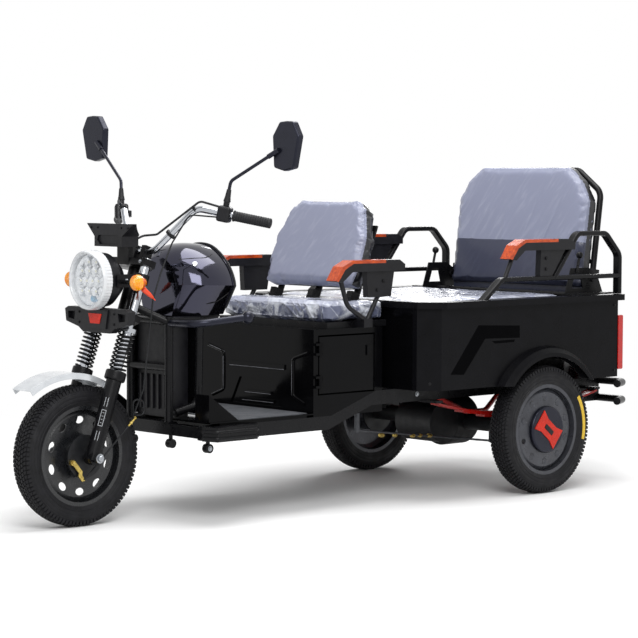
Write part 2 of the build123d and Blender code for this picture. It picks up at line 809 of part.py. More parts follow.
def controller_box():
    """Housing of the motor's controller inside the column's cage, with cooling ribs in front."""
    front, back = cage_front - 16, cage_rear + 16
    case = block(back, front, -84, 84, floor_top, tank_base - 30)
    for y in (-60, -30, 0, 30, 60):
        case += block(front - 2, front + 7, y - 4, y + 4, rail_low + 60, 474)
    return case


def cover_section(x, half, waist, top, foot):
    """Rounded cross-section of the tank-like cover at x: widest at the waist, narrower at its foot."""
    rise = top - waist
    crown = Spline((half, waist), (half * 0.83, waist + rise * 0.46), (half * 0.6, waist + rise * 0.74),
                   (half * 0.34, waist + rise * 0.93), (0, top), (-half * 0.34, waist + rise * 0.93),
                   (-half * 0.6, waist + rise * 0.74), (-half * 0.83, waist + rise * 0.46), (-half, waist))
    sides = Polyline((-half, waist), (-foot, tank_base), (foot, tank_base), (half, waist))
    return Pos(x, 0, 0) * (Plane.YZ * make_face([crown, sides]))


def tank():
    """Cover like a fuel tank between the head tube and the driver, with a rolled rear edge."""
    waist = tank_base + 98
    body = loft([
        cover_section(tank_rear, 172, waist, tank_top - 6, 110),
        cover_section(tank_rear + 60, 178, waist + 2, tank_top, 124),
        cover_section(tank_rear + 130, 160, waist + 4, tank_top - 8, 112),
        cover_section(tank_rear + 180, 104, waist + 4, tank_top - 44, 72),
    ])
    edge = extrude(cover_section(tank_rear - 7, 175, waist, tank_top - 3, 112), amount=9, dir=(1, 0, 0))
    return body + edge


def knee_guards():
    """Bent tubes beside the driver's shins, each with a round rubber cap."""
    out = []
    column = front_column()
    for side in (1, -1):
        end = (cage_front - 166, side * 300, tank_base)
        guard = tube([(cage_front, side * 106, tank_base - 22),
                      (cage_front + 6, side * 250, tank_base - 18), end], 12, 60)
        guard += Pos(*end) * Sphere(21)
        out.append(guard - column - tank())
    return group(out)


def box_relief():
    """Beads pressed into the front of the driver's box: a bar, ribs and side trims."""
    face = box_front - 1
    relief = yz_panel([(-125, 473), (159, 473), (159, 490), (-125, 490)], face, box_front + 5)
    for low, high, half in ((384, 394, 68), (356, 366, 82)):
        relief += yz_panel([(18 - half, low), (18 + half, low), (18 + half, high), (18 - half, high)],
                           face - 6, box_front)
    for points in ([(-243, 538), (-161, 518), (-161, 386), (-219, 364)],
                   [(274, 537), (200, 514), (200, 387), (258, 364)]):
        relief += tube([(box_front, y, z) for y, z in points], 6, 14)
    return relief


def box_field(inset):
    """Outline of the sunk field in the front of the driver's box."""
    return [(-125 + inset, 345 + inset), (147 - inset, 345 + inset), (104 - inset, 436 - inset),
            (-77 + inset, 436 - inset)]


def seat_box():
    """Battery box under the driver's bench, open on the left behind its door."""
    outer = block(box_rear, box_front, -frame_half, frame_half, rail_low + rail_height / 2, box_top)
    inner = block(box_rear + box_sheet, box_front - box_sheet, -frame_half + box_sheet,
                  frame_half - box_sheet,
                  rail_low + rail_height / 2 + box_sheet, box_top - box_sheet)
    opening = block(door_rear - door_gap, door_front + door_gap, frame_half - 40, frame_half + 20,
                    door_base - door_gap, door_top + door_gap)
    pan = yz_panel(box_field(-box_sheet), box_front - 6 - box_sheet, box_front - 1)
    box = outer - inner + pan - yz_panel(box_field(0), box_front - 6, box_front + 1) - opening - frame()
    box += box_relief()
    for pin in door_pins():
        box += pin
    return box


def driver_cushion():
    """Driver's cushion, slotted around the backrest's posts."""
    pad = block(bench_rear, bench_front, -bench_half, bench_half, cushion_base, cushion_top)
    pad = fillet(pad.edges().filter_by(Axis.Z), 24)
    for y in post_places:
        pad -= block(post_x - 34, post_x + 36, y - post_half - 1, y + post_half + 1, cushion_base - 1,
                     cushion_top + 1)
    return pad


def seat_pan():
    """Steel pan under the driver's cushion."""
    return block(bench_rear + 6, bench_front - 6, -bench_half + 6, bench_half - 6, box_top,
                 cushion_base - fit_gap)


def seat_frame():
    """Pan with the posts and back plate of the driver's backrest."""
    return seat_pan() + driver_posts()


def driver_backrest():
    """Padded back on the driver's bench, leaning back on its three posts."""
    face = make_face(Polyline((-228, 0), (228, 0), (246, 90), (240, 190), (196, 300), (150, 334),
                              (-150, 334),
                              (-196, 300), (-240, 190), (-246, 90), close=True))
    pad = extrude(Plane.YZ * face, amount=backrest_thickness)
    return driver_back_place() * fillet(pad.edges().filter_by(Axis.X), 10)


def driver_back_place():
    """Where the driver's backrest stands, leaning back."""
    return Pos(post_x, 0, 735) * Rot(0, -backrest_lean, 0) * Pos(-backrest_thickness / 2, 0, 0)


def driver_posts():
    """Flat posts and back plate that carry the driver's backrest."""
    out = driver_back_place() * block(-8, -fit_gap, -206, 206, 20, 250)
    for y in post_places:
        lean = driver_back_place() * block(-8, -fit_gap, y - post_half, y + post_half, -22, 60)
        foot = block(post_x - 17, post_x + 12, y - post_half, y + post_half, cushion_base - 2, 714)
        neck = driver_back_place() * block(-8, backrest_thickness / 2, y - post_half, y + post_half,
                                           -30, -fit_gap)
        out = out + lean + foot + neck
    return out - driver_backrest()


def armrest_profile(length):
    """Side view of an armrest's pad, from its rear end."""
    return [(0, 0), (length - 75, 0), (length - 28, -34), (length, -30), (length - 32, 18),
            (length - 75, 38),
            (26, 38), (0, 22)]


def armrest_strip(length):
    """Side view of the strip let into an armrest's top."""
    return [(92, 39), (length - 75, 39), (length - 30, 19), (length + 2, -28), (length - 9, -31),
            (length - 40, 9),
            (length - 79, 28), (92, 28)]


def arm_shape(outline, arm):
    """An armrest's side view pulled to its width, in place."""
    x, z, y, _ = arm
    points = [(x + u, z + w) for u, w in outline]
    return slab(points, y - armrest_half_width, y + armrest_half_width)


def armrest(arm, foot):
    """The left armrest on its trapezoid bracket; foot lists the bracket's lower corners."""
    x, z, y, length = arm
    pad = arm_shape(armrest_profile(length), arm) - arm_shape(armrest_strip(length), arm)
    return pad + slab([(x + 40, z), foot[0], foot[1], (x + 170, z)], y - 12, y + 12)


def front_armrests():
    """Driver's armrests with their brackets and struts down to the pan."""
    x, z, y, length = front_arm
    one = armrest(front_arm, [(640, 718), (748, 718)])
    foot = (742, y, 638)
    one += tube([(866, y, 782), (834, y, 690), foot], 8, 60)
    one += tube([(690, y, 722), foot], 8)
    one += block(722, 762, bench_half - 8, y + 8, box_top + 1, 645)
    keep = seat_frame() + driver_cushion()
    return group(both_sides(one - keep - arm_shape(armrest_strip(length), front_arm)))


def rear_armrests():
    """Passenger armrests on the bed rails."""
    x, z, y, length = rear_arm
    one = armrest(rear_arm, [(-50, loop_height + 8.5), (15, loop_height + 8.5)])
    one += tube([(152, y, 838), (188, y, loop_height + 4)], 8)
    return group(both_sides(one - bed_rails() - arm_shape(armrest_strip(length), rear_arm)))


def armrest_strips(arm):
    """Wood-look strips let into the armrests' tops."""
    return group(both_sides(arm_shape(armrest_strip(arm[3]), arm)))


def door_hinge_places():
    """Heights of the middle of the battery door's two hinges."""
    return (door_base + 40, door_top - 40)


def box_door():
    """Battery door on the left of the box, hinged along its front edge."""
    panel = block(door_rear, door_front, frame_half - 6, frame_half, door_base, door_top)
    for z in door_hinge_places():
        panel += block(door_front - 14, door_front, frame_half - 1, hinge_y + 4, z - 12, z + 12)
        panel += block(door_front - 14, hinge_x + 4, frame_half + 0.5, hinge_y + 4, z - 12, z + 12)
        panel += Pos(hinge_x, hinge_y, z) * Cylinder(8, 24)
        panel -= Pos(hinge_x, hinge_y, z) * Cylinder(hinge_pin + bearing_gap, 40)
    panel += block(door_rear + 14, door_rear + 34, frame_half, frame_half + 5, door_top - 70, door_top - 36)
    return panel


def door_pins():
    """Hinge pins of the battery door with their fixed lugs."""
    out = []
    for z in door_hinge_places():
        pin = Pos(hinge_x, hinge_y, z) * Cylinder(hinge_pin, 48)
        for end in (1, -1):
            lug_z = z + end * (12 + bearing_gap + 4)
            pin += Pos(hinge_x, hinge_y, lug_z) * Cylinder(7, 8)
            pin += block(hinge_x, box_front, frame_half + 0.6, hinge_y + 5, lug_z - 4, lug_z + 4)
            pin += block(door_front + door_gap + 0.5, box_front, frame_half - 1, hinge_y + 5, lug_z - 4,
                         lug_z + 4)
        out.append(pin)
    return out


def battery():
    """Battery pack inside the box, one plain block."""
    return block(680, 930, -230, 230, rail_low + rail_height / 2 + box_sheet, 560)


def arch_cylinder(radius, y0, y1):
    """The round of a wheel arch, between two places along Y."""
    return disc_y(radius, y0, y1, 0, tyre_radius)


def bed_corner(side, diagonal, front):
    """Two corner points of a line set out from the side, the cut corner and the front."""
    slant = diagonal * math.sqrt(2) - corner_cut
    return [(bed_front + slant - side, bed_half + side), (bed_front + front, bed_half + slant - front)]


def bed_plan(inset, rear, front, low, high):
    """A plate inside the bed's walls, kept inset from their outer face, with the two front corners cut."""
    corner = [(min(x, front), y) for x, y in bed_corner(-inset, -inset, -inset)]
    if front < bed_front - inset:
        corner[1] = (front, bed_front + bed_half - corner_cut - inset * math.sqrt(2) - front)
    half = [(rear, bed_half - inset)] + corner
    points = half + [(x, -y) for x, y in reversed(half)]
    return Pos(0, 0, low) * extrude(make_face(Polyline(*points, close=True)), amount=high - low)


def bed_band(outer, inner, rear, end, low, high):
    """A strip along the left side and round the cut corner, between two bed_corner offsets."""
    points = [(rear, bed_half + outer[0])] + bed_corner(*outer) + [(bed_front + outer[2], end),
                                                                   (bed_front + inner[2], end)]
    points += list(reversed(bed_corner(*inner))) + [(rear, bed_half + inner[0])]
    return Pos(0, 0, low) * extrude(make_face(Polyline(*points, close=True)), amount=high - low)


def corner_post(low):
    """Left rear corner post."""
    return block(bed_rear, bed_rear + 24, gate_half + 8, bed_half, low, bed_lip)


def bed_tub():
    """Bed floor and front wall with the two wheel boxes."""
    wall_inner = bed_half - bed_sheet
    floor = bed_plan(bed_sheet, bed_rear + 1, bed_front - bed_sheet, bed_floor, bed_floor + bed_sheet)
    out = floor + block(bed_front - bed_sheet, bed_front, -front_wall_half, front_wall_half, bed_floor,
                        bed_lip - 22)
    well_y = half_track - tyre_width / 2 - liner_gap
    above = block(-400, 400, -600, 600, bed_floor, bed_lip)
    for side in (1, -1):
        out += arch_cylinder(arch_radius + bed_sheet, side * (well_y - bed_sheet),
                             side * wall_inner) & above
    for side in (1, -1):
        out -= arch_cylinder(arch_radius, side * well_y, side * (wall_inner + 1))
    for pin in gate_pins():
        out += pin
    for post in both_sides(corner_post(bed_floor - 1)):
        out -= post
    return out


def bed_sides():
    """Side walls round the cut front corners, with rolled top edges, wheel arches and posts."""
    y0, y1 = bed_half - bed_sheet, bed_half
    wall = bed_band((0, 0, 0), (-bed_sheet, -bed_sheet, -bed_sheet), bed_rear, front_wall_half,
                    bed_floor, bed_lip)
    lip = bed_band(lip_outer, lip_inner, bed_rear - 8, 0, bed_lip - 4, bed_lip)
    skirt = bed_band(lip_outer, [reach - 4 for reach in lip_outer], bed_rear - 8, 0, bed_lip - 22, bed_lip)
    ledge = block(deck_rear, bed_front - corner_cut - 10, y0 - 26, y0 + 1, deck_top - 10, deck_top - 4)
    one = wall + lip + skirt + corner_post(bed_floor) + ledge - arch_cylinder(arch_radius, y0 - 60, y1 + 60)
    left, right = both_sides(one)
    rail = block(bed_front - 16, bed_front + 12, 6 - front_wall_half, front_wall_half - 6, bed_lip - 20,
                 bed_lip)
    return left + right + rail - bed_tub()


def arch_flares():
    """Flared lips over the wheel arches."""
    y0 = bed_half
    y1 = y0 + flare_reach
    profile = [(flare_radius, y0), (flare_radius - 8, y0 + 26), (flare_radius - 24, y1), (arch_radius, y1),
               (arch_radius, y1 - 4), (flare_radius - 27, y1 - 4), (flare_radius - 12,
                                                                    y0 + 23), (flare_radius - 5, y0)]
    ring = Pos(0, 0, tyre_radius) * turned(profile)
    keep = block(-400, 400, 0, 600, bed_floor, bed_lip)
    return group(both_sides(ring & keep))


def bed_rails():
    """Flat-sided hand rails around the bed: a long low loop and a high hoop behind."""
    y = rail_half
    foot = bed_lip
    loop = flat_bar([(304, y, foot - 6), (210, y, loop_height), (-420, y, loop_height)], 33, 17, 36)
    hoop = flat_bar([(-64, y, loop_height), (-190, y, hoop_height), (-346, y, hoop_height), (-424, y, 846),
                     (-424, y, foot)], 34, 18, 40)
    return group(both_sides(loop + hoop - block(-600, 600, 300, 600, foot - 40, foot)))


def tailgate():
    """Rear gate, hinged at the floor, with pressed ribs and a blank plate panel."""
    x = bed_rear
    panel = block(x - 6, x - 2, -gate_half, gate_half, gate_hinge_height + 10, bed_lip - 8)
    ribs = block(x - 14, x - 6, -gate_half, gate_half, bed_lip - 34, bed_lip - 8)
    ribs += block(x - 14, x - 6, -gate_half, gate_half, gate_hinge_height + 10, gate_hinge_height + 26)
    out = panel + ribs
    for y in (-gate_half + 14, -140, 140, gate_half - 14):
        out += block(x - 14, x - 6, y - 14, y + 14, gate_hinge_height + 10, bed_lip - 8)
    for side in (1, -1):
        out += gate_knuckle(x - 3, side * 300, 60)
        hole = along_x(Cylinder(plate_hole_radius, 60))
        out -= Pos(x, side * plate_hole_spacing / 2, plate_hole_height) * hole
    return out


def gate_knuckle(x, y, width):
    """One knuckle of the gate's hinge."""
    knuckle = disc_y(7, y - width / 2, y + width / 2, x, gate_hinge_height)
    knuckle += block(x - 3, x + 1, y - width / 2, y + width / 2, gate_hinge_height, gate_hinge_height + 12)
    return knuckle - disc_y(hinge_pin + bearing_gap, y - width, y + width, x, gate_hinge_height)


def gate_pins():
    """Pins of the gate's hinge with their lugs on the bed floor."""
    out = []
    for side in (1, -1):
        y = side * 300
        pin = disc_y(hinge_pin, y - 44, y + 44, bed_rear - 3, gate_hinge_height)
        for end in (1, -1):
            inner, outer = y + end * (30 + bearing_gap), y + end * 44
            pin += block(bed_rear - 8, bed_rear + 20, min(inner, outer), max(inner, outer),
                         bed_floor + 1, gate_hinge_height + 5)
        out.append(pin)
    return out


def tail_lamps():
    """Red lamps on the rear corner posts."""
    one = block(bed_rear - 26, bed_rear - fit_gap, gate_half + 8, bed_half + 3, 422, 622)
    return group(both_sides(fillet(one.edges().filter_by(Axis.X), 6)))


def rear_deck():
    """Board under the passenger cushion, on the ledges of the side walls."""
    return bed_plan(bed_sheet + fit_gap, deck_rear, rear_bench_front - 6, deck_top - 4, deck_top)


def rear_cushion():
    """Long cushion of the passengers' bench."""
    pad = block(rear_bench_rear, rear_bench_front, -rear_bench_half, rear_bench_half,
                deck_top + fit_gap, bed_lip + 2)
    return fillet(pad.edges().filter_by(Axis.Z), 30)


def rear_back_place():
    """Where the passengers' backrest stands, leaning back a little."""
    return Pos(-334, 0, rear_back_base) * Rot(0, -rear_back_lean, 0) * Pos(-58, 0, 0)


def rear_backrest():
    """Tall padded back for the passengers."""
    w = rear_back_half
    face = make_face(Polyline((-w, 0), (w, 0), (w, 350), (w - 50, 430), (228, 482), (-228, 482),
                              (-w + 50, 430),
                              (-w, 350), close=True))
    pad = extrude(Plane.YZ * face, amount=58)
    return rear_back_place() * fillet(pad.edges().filter_by(Axis.X), 16)


def rear_back_frame():
    """Tube frame behind the passenger backrest with its pivot pins."""
    w = rear_back_half - 16
    hoop = tube([(-12, w, 24), (-12, w, 380), (-12, 210, 462), (-12, -210, 462), (-12, -w, 380),
                 (-12, -w, 24)], 11.7, 50)
    cross = tube([(-12, -w, 120), (-12, w, 120)], 9)
    body = rear_back_place() * (hoop + cross)
    for side in (1, -1):
        edge = side * (rear_back_half + fit_gap)
        body += disc_y(pivot_pin, edge, side * 372, rear_pivot_x, rear_pivot_z)
        body += disc_y(15, edge, side * 352, rear_pivot_x, rear_pivot_z)
        body += rear_back_place() * block(-22, 30, edge, side * 352, 30, 90)
    return body - rear_backrest()


def back_brackets():
    """A-shaped brackets on the bed edge that carry the backrest's pivots."""
    x, z = rear_pivot_x, rear_pivot_z
    plate = slab([(x - 60, bed_lip), (x + 150, bed_lip), (x + 118, 795), (x + 20, 795),
                  (x - 30, z + 16)], 362, 367)
    plate -= slab([(x + 52, bed_lip + 20), (x + 116, bed_lip + 20), (x + 98, 772), (x + 66, 772)], 300, 400)
    foot = block(x - 60, x + 150, 362, rail_half - 18, bed_lip, bed_lip + 5)
    lever = tube([(x + 90, 369, 780), (x + 76, 369, 836)], 5)
    knob = Pos(x + 75, 369, 842) * Sphere(13)
    bore = disc_y(pivot_pin + bearing_gap, 340, 400, x, z)
    return group(both_sides(plate + foot + lever + knob - bore))


def rear_bumper():
    """Two bent tubes behind the bed, on brackets from the frame."""
    back = -bumper_reach + bumper_tube
    bars = []
    for z in (bumper_upper, bumper_lower):
        bars.append(tube([(-432, bumper_half + 38, z), (back, bumper_half, z), (back, -bumper_half, z),
                          (-432, -bumper_half - 38, z)], bumper_tube, 30))
    bumper = bars[0] + bars[1]
    for side in (1, -1):
        arm_y = side * (frame_half - rail_width / 2)
        bumper += block(back, rail_rear, arm_y - 3, arm_y + 3, bumper_lower - 12, bumper_upper + 10)
    return bumper - frame() - bed_tub()


def rear_axle():
    """Axle tube with the differential, the motor, brake plates and wheel spindles."""
    z = tyre_radius
    inner = half_track - bead_width / 2 - 22 - 0.6
    tube_body = disc_y(30, -inner + 6, inner - 6, 0, z)
    plates = [disc_y(rear_hub_radius + 4, side * (inner - 6), side * inner, 0, z) for side in (1, -1)]
    pins = [disc_y(spindle_radius, side * (inner - 6), side * (half_track + 16), 0, z) for side in (1, -1)]
    diff = Pos(0, 0, z) * along_x(Cylinder(92, 150))
    diff = fillet(diff.edges(), 24)
    motor = disc_y(74, -84, 96, 132, z + 4)
    pads = [block(-34, 34, side * 330 - 24, side * 330 + 24, z + 20, z + 38) for side in (1, -1)]
    return tube_body + plates + pins + diff + motor + pads


def leaf_springs():
    """Red leaf springs between the axle and the side rails, and the two stays between them."""
    z = tyre_radius + 38

    def leaf(reach, rise, level):
        a = ThreePointArc((-reach, 0, z + level + rise), (0, 0, z + level), (reach, 0, z + level + rise))
        b = ThreePointArc((reach, 0, z + level + rise + 7), (0, 0, z + level + 7),
                          (-reach, 0, z + level + rise + 7))
        face = make_face([a, Line(a @ 1, b @ 0), b, Line(b @ 1, a @ 0)])
        return Pos(0, 330 - 22, 0) * extrude(face, amount=44, dir=(0, 1, 0))
    rise = spring_eye - z - 14
    stay = tube([(250, 130, rail_high - 18), (50, 130, z + 2), (-50, 130, z + 2),
                 (-150, 130, rail_high - 18)], 9, 40)
    stack = leaf(420, rise, 14) + leaf(300, rise * 0.51, 7) + leaf(190, rise * 0.2, 0)
    return group(both_sides(stack) + both_sides(stay - frame()))


def brake_linkage():
    """Brake rod under the frame with its hanging bracket."""
    rod = tube([(625, 150, 243), (-60, 150, 156)], 4)
    hanger = block(618, 632, 144, 156, 236, rail_high - 10)
    arm = block(-66, -54, 144, 156, 150, tyre_radius) + block(-60, 0, 144, 156, tyre_radius - 12,
                                                              tyre_radius)
    return (rod + hanger + arm) - frame() - rear_axle()


def nodes():
    """Every piece of the machine by name."""
    return {
        "frame": frame(),
        "floorboard": floorboard(),
        "front_column": front_column(),
        "controller_box": controller_box(),
        "tank": tank(),
        "knee_guards": knee_guards(),
        "seat_box": seat_box(),
        "box_door": box_door(),
        "battery": battery(),
        "seat_frame": seat_frame(),
        "driver_cushion": driver_cushion(),
        "driver_backrest": driver_backrest(),
        "armrests": group([front_armrests(), rear_armrests()]),
        "armrest_strips": group([armrest_strips(front_arm), armrest_strips(rear_arm)]),
        "bed_tub": bed_tub(),
        "bed_sides": bed_sides(),
        "arch_flares": arch_flares(),
        "bed_rails": bed_rails(),
        "tailgate": tailgate(),
        "tail_lamps": tail_lamps(),
        "rear_deck": rear_deck(),
        "rear_cushion": rear_cushion(),
        "rear_backrest": rear_backrest(),
        "rear_back_frame": rear_back_frame(),
        "back_brackets": back_brackets(),
        "rear_bumper": rear_bumper(),
        "rear_axle": rear_axle(),
        "leaf_springs": leaf_springs(),
        "brake_linkage": brake_linkage(),
        "fork_lowers": fork_lowers(),
        "fork_tubes": fork_tubes(),
        "fork_springs": fork_springs(),
        "fork_clamps": fork_clamps(),
        "handlebar": handlebar(),
        "grips": grips(),
        "switch_pods": switch_pods(),
        "mirrors": mirrors(),
        "mirror_glasses": mirror_glasses(),
        "headlamp_shell": headlamp_shell(),
        "headlamp_bezel": headlamp_bezel(),
        "headlamp_lens": headlamp_lens(),
        "lamp_bracket": lamp_bracket(),
        "indicators": indicators(),
        "front_trim": front_trim(),
        "trim_plate": trim_plate(),
        "instrument_cowl": instrument_cowl(),
        "front_fender": front_fender(),
        "front_axle": front_axle(),
        "brake_arm": brake_arm(),
        "cables": group([front_brake_cable()] + wiring()),
        "tyre_front": Pos(wheelbase, 0, tyre_radius) * tyre(),
        "rim_front": Pos(wheelbase, 0, tyre_radius) * front_rim(),
        "tyre_rear_left": wheel_place(True) * tyre(),
        "tyre_rear_right": wheel_place(False) * tyre(),
        "rim_rear_left": rear_wheel_piece(rear_rim(), True),
        "rim_rear_right": rear_wheel_piece(rear_rim(), False),
        "hub_cap_left": rear_wheel_piece(hub_cap(), True),
        "hub_cap_right": rear_wheel_piece(hub_cap(), False),
        "cap_plate_left": rear_wheel_piece(cap_plate(), True),
        "cap_plate_right": rear_wheel_piece(cap_plate(), False),
    }


def main():
    os.makedirs("parts", exist_ok=True)
    for name, shape in nodes().items():
        solids = [Pos(origin_shift, 0, 0) * solid for solid in shape.solids()]
        export_step(solids[0] if len(solids) == 1 else Compound(children=solids), f"parts/{name}.step")


main()
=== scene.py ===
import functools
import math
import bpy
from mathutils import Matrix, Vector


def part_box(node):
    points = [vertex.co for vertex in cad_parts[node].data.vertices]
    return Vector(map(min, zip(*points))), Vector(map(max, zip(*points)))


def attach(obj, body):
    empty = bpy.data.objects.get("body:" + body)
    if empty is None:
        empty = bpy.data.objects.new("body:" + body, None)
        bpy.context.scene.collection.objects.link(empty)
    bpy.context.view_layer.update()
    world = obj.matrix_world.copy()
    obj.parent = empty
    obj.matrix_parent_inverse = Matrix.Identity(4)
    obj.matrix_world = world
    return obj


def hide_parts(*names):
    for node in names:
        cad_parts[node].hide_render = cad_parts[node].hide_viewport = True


bl_info = {
    "name": "Cargo tricycle looks",
    "version": (1, 0, 0),
    "blender": (4, 5, 0),
    "location": "View3D > Sidebar > Tricycle",
    "description": "Tyres, padded seats, lamps, trim and finishes for the electric cargo tricycle",
    "category": "Object",
}

import bmesh
import bpy
from mathutils import Matrix, Vector, noise
from mathutils.bvhtree import BVHTree

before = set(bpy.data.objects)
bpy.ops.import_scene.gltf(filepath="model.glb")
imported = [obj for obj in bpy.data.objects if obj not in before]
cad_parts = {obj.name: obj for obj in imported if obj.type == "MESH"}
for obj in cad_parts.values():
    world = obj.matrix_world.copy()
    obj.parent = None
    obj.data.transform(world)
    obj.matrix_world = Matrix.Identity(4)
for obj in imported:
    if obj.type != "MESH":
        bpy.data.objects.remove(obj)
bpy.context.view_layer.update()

MM = 0.001
wheel_low, wheel_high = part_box("tyre_front")
rear_low, rear_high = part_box("tyre_rear_left")
axle_x = (rear_low.x + rear_high.x) / 2
front_axle_x = (wheel_low.x + wheel_high.x) / 2
tyre_radius = (wheel_high.z - wheel_low.z) / 2
tyre_width = wheel_high.y - wheel_low.y
rear_track = rear_low.y + rear_high.y
fork_lean = math.radians(19.5)
bar_end = Vector((1251.0, 393.0, 975.0))
bar_peak = Vector((1388.0, 190.0, 1022.0))
bar_middle = Vector((1460.0, 62.0, 880.0))
pod_middle = 152.0


def at(x, y, z):
    """A place given in millimetres from the rear axle and the ground, in the row frame."""
    return Vector((axle_x + x * MM, y * MM, z * MM))


def on_fork(x, y, z):
    """A place in millimetres ahead of the fork's line, to the left, and up along the legs from the axle."""
    lean = Vector((x * math.cos(fork_lean) - z * math.sin(fork_lean), y,
                   x * math.sin(fork_lean) + z * math.cos(fork_lean)))
    return Vector((front_axle_x, 0, tyre_radius)) + lean * MM


def on_bar(x, y, z, side=1):
    """A place in millimetres inwards along a grip, across it and above it, on the left or right."""
    inward = (bar_peak - bar_end).normalized()
    upward = (Vector((0, 0, 1)) - inward * inward.z).normalized()
    place = bar_end + inward * x + upward.cross(inward) * y + upward * z
    return at(place.x, side * place.y, place.z)


def linear(code):
    """An sRGB hex colour such as 1a1b1d as linear red, green, blue and alpha."""
    parts = [int(code[i:i + 2], 16) / 255 for i in (0, 2, 4)]
    return tuple(p / 12.92 if p <= 0.04045 else ((p + 0.055) / 1.055) ** 2.4 for p in parts) + (1.0,)


# ---------------------------------------------------------------- settings

def shade(label, code, note):
    """A colour setting whose default is that sRGB colour."""
    return bpy.props.FloatVectorProperty(
        name=label, description=note, subtype="COLOR", size=4, min=0, max=1, default=linear(code))


def size(label, metres, note):
    """A length setting."""
    return bpy.props.FloatProperty(
        name=label, description=note, default=metres, min=0, unit="LENGTH", precision=4)


class TrikeColours(bpy.types.PropertyGroup):
    """Colours of the machine's finishes."""
    enamel: shade("Enamel", "050506", "Stoved enamel of the body panels")
    powder: shade("Powder coat", "0b0b0d", "Powder coat of tubes and brackets")
    vinyl: shade("Seat vinyl", "7c8094", "Cover of the cushions and backrests")
    fender: shade("Fender", "cdd0d3", "Enamel of the front mudguard")
    amber: shade("Indicators", "f2a60a", "Moulded lenses of the indicators")
    red: shade("Tail lamps", "a80f08", "Moulded lenses of the tail lamps")
    wood: shade("Armrest strips", "bb480e", "Wood-look strips in the armrests")
    springs: shade("Leaf springs", "960f09", "Enamel of the leaf springs")


class TrikeSizes(bpy.types.PropertyGroup):
    """Sizes of the parts that this file builds."""
    tread_depth: size("Tread depth", 0.0038, "How deep the tyre grooves are")
    tread_pitch: size("Tread pitch", 0.0150, "Distance from one tread block to the next")
    seat_puff: size("Seat puff", 0.022, "How far the filling may push a cover out")
    film_crease: size("Film crease", 0.0022, "Height of the creases in the seat film")


def colours():
    return bpy.context.scene.trike_colours


def sizes():
    return bpy.context.scene.trike_sizes


# ---------------------------------------------------------------- finishes

def add_node(tree, kind, inputs=(), **settings):
    """Adds a shader node with its settings; inputs gives values or other nodes' sockets."""
    made = tree.nodes.new("ShaderNode" + kind)
    for key, value in settings.items():
        setattr(made, key, value)
    for key, value in dict(inputs).items():
        if isinstance(value, bpy.types.NodeSocket):
            tree.links.new(value, made.inputs[key])
        else:
            made.inputs[key].default_value = value
    return made


class Finish:
    """A material being made: its shader, and the object's own coordinates in metres."""

    def __init__(self, name, colour, rough, sockets):
        self.material = bpy.data.materials.new(name)
        self.material.use_nodes = True
        self.tree = self.material.node_tree
        self.add = functools.partial(add_node, self.tree)
        self.shader = self.tree.nodes["Principled BSDF"]
        self.colour = colour if not isinstance(colour, str) else linear(colour)
        self.shader.inputs["Base Color"].default_value = self.colour
        self.shader.inputs["Roughness"].default_value = rough
        for key, value in sockets.items():
            self.shader.inputs[key].default_value = value
        self.place = self.add("TexCoord").outputs["Object"]

    def mottle(self, millimetres, low, high, detail=3.0, stretch=(1, 1, 1)):
        """A random value from low to high whose patches are that wide."""
        place = self.add("Mapping", {"Vector": self.place, "Scale": stretch}).outputs[0]
        cloud = self.add("TexNoise", {"Vector": place, "Scale": 1000 / millimetres, "Detail": detail})
        span = {"Value": cloud.outputs[0], "From Min": 0.3, "From Max": 0.7, "To Min": low, "To Max": high}
        return self.add("MapRange", span).outputs[0]

    def uneven(self, millimetres, low, high):
        """Roughness that varies over the surface."""
        self.tree.links.new(self.mottle(millimetres, low, high), self.shader.inputs["Roughness"])
        return self

    def toned(self, other, share, millimetres=60.0, stretch=(1, 1, 1)):
        """The colour drifts towards another one, as far as share says."""
        amount = self.mottle(millimetres, 0, share, stretch=stretch)
        mix = self.add("Mix", {0: amount, 6: self.colour, 7: linear(other)}, data_type="RGBA")
        self.tree.links.new(mix.outputs[2], self.shader.inputs["Base Color"])
        return self

    def relief(self, millimetres, depth):
        """Small bumps of that width and depth, both in millimetres."""
        height = self.mottle(millimetres, 0, 1, detail=2.0)
        bump = self.add("Bump", {"Strength": 1.0, "Distance": depth * MM, "Height": height})
        self.tree.links.new(bump.outputs[0], self.shader.inputs["Normal"])
        return self


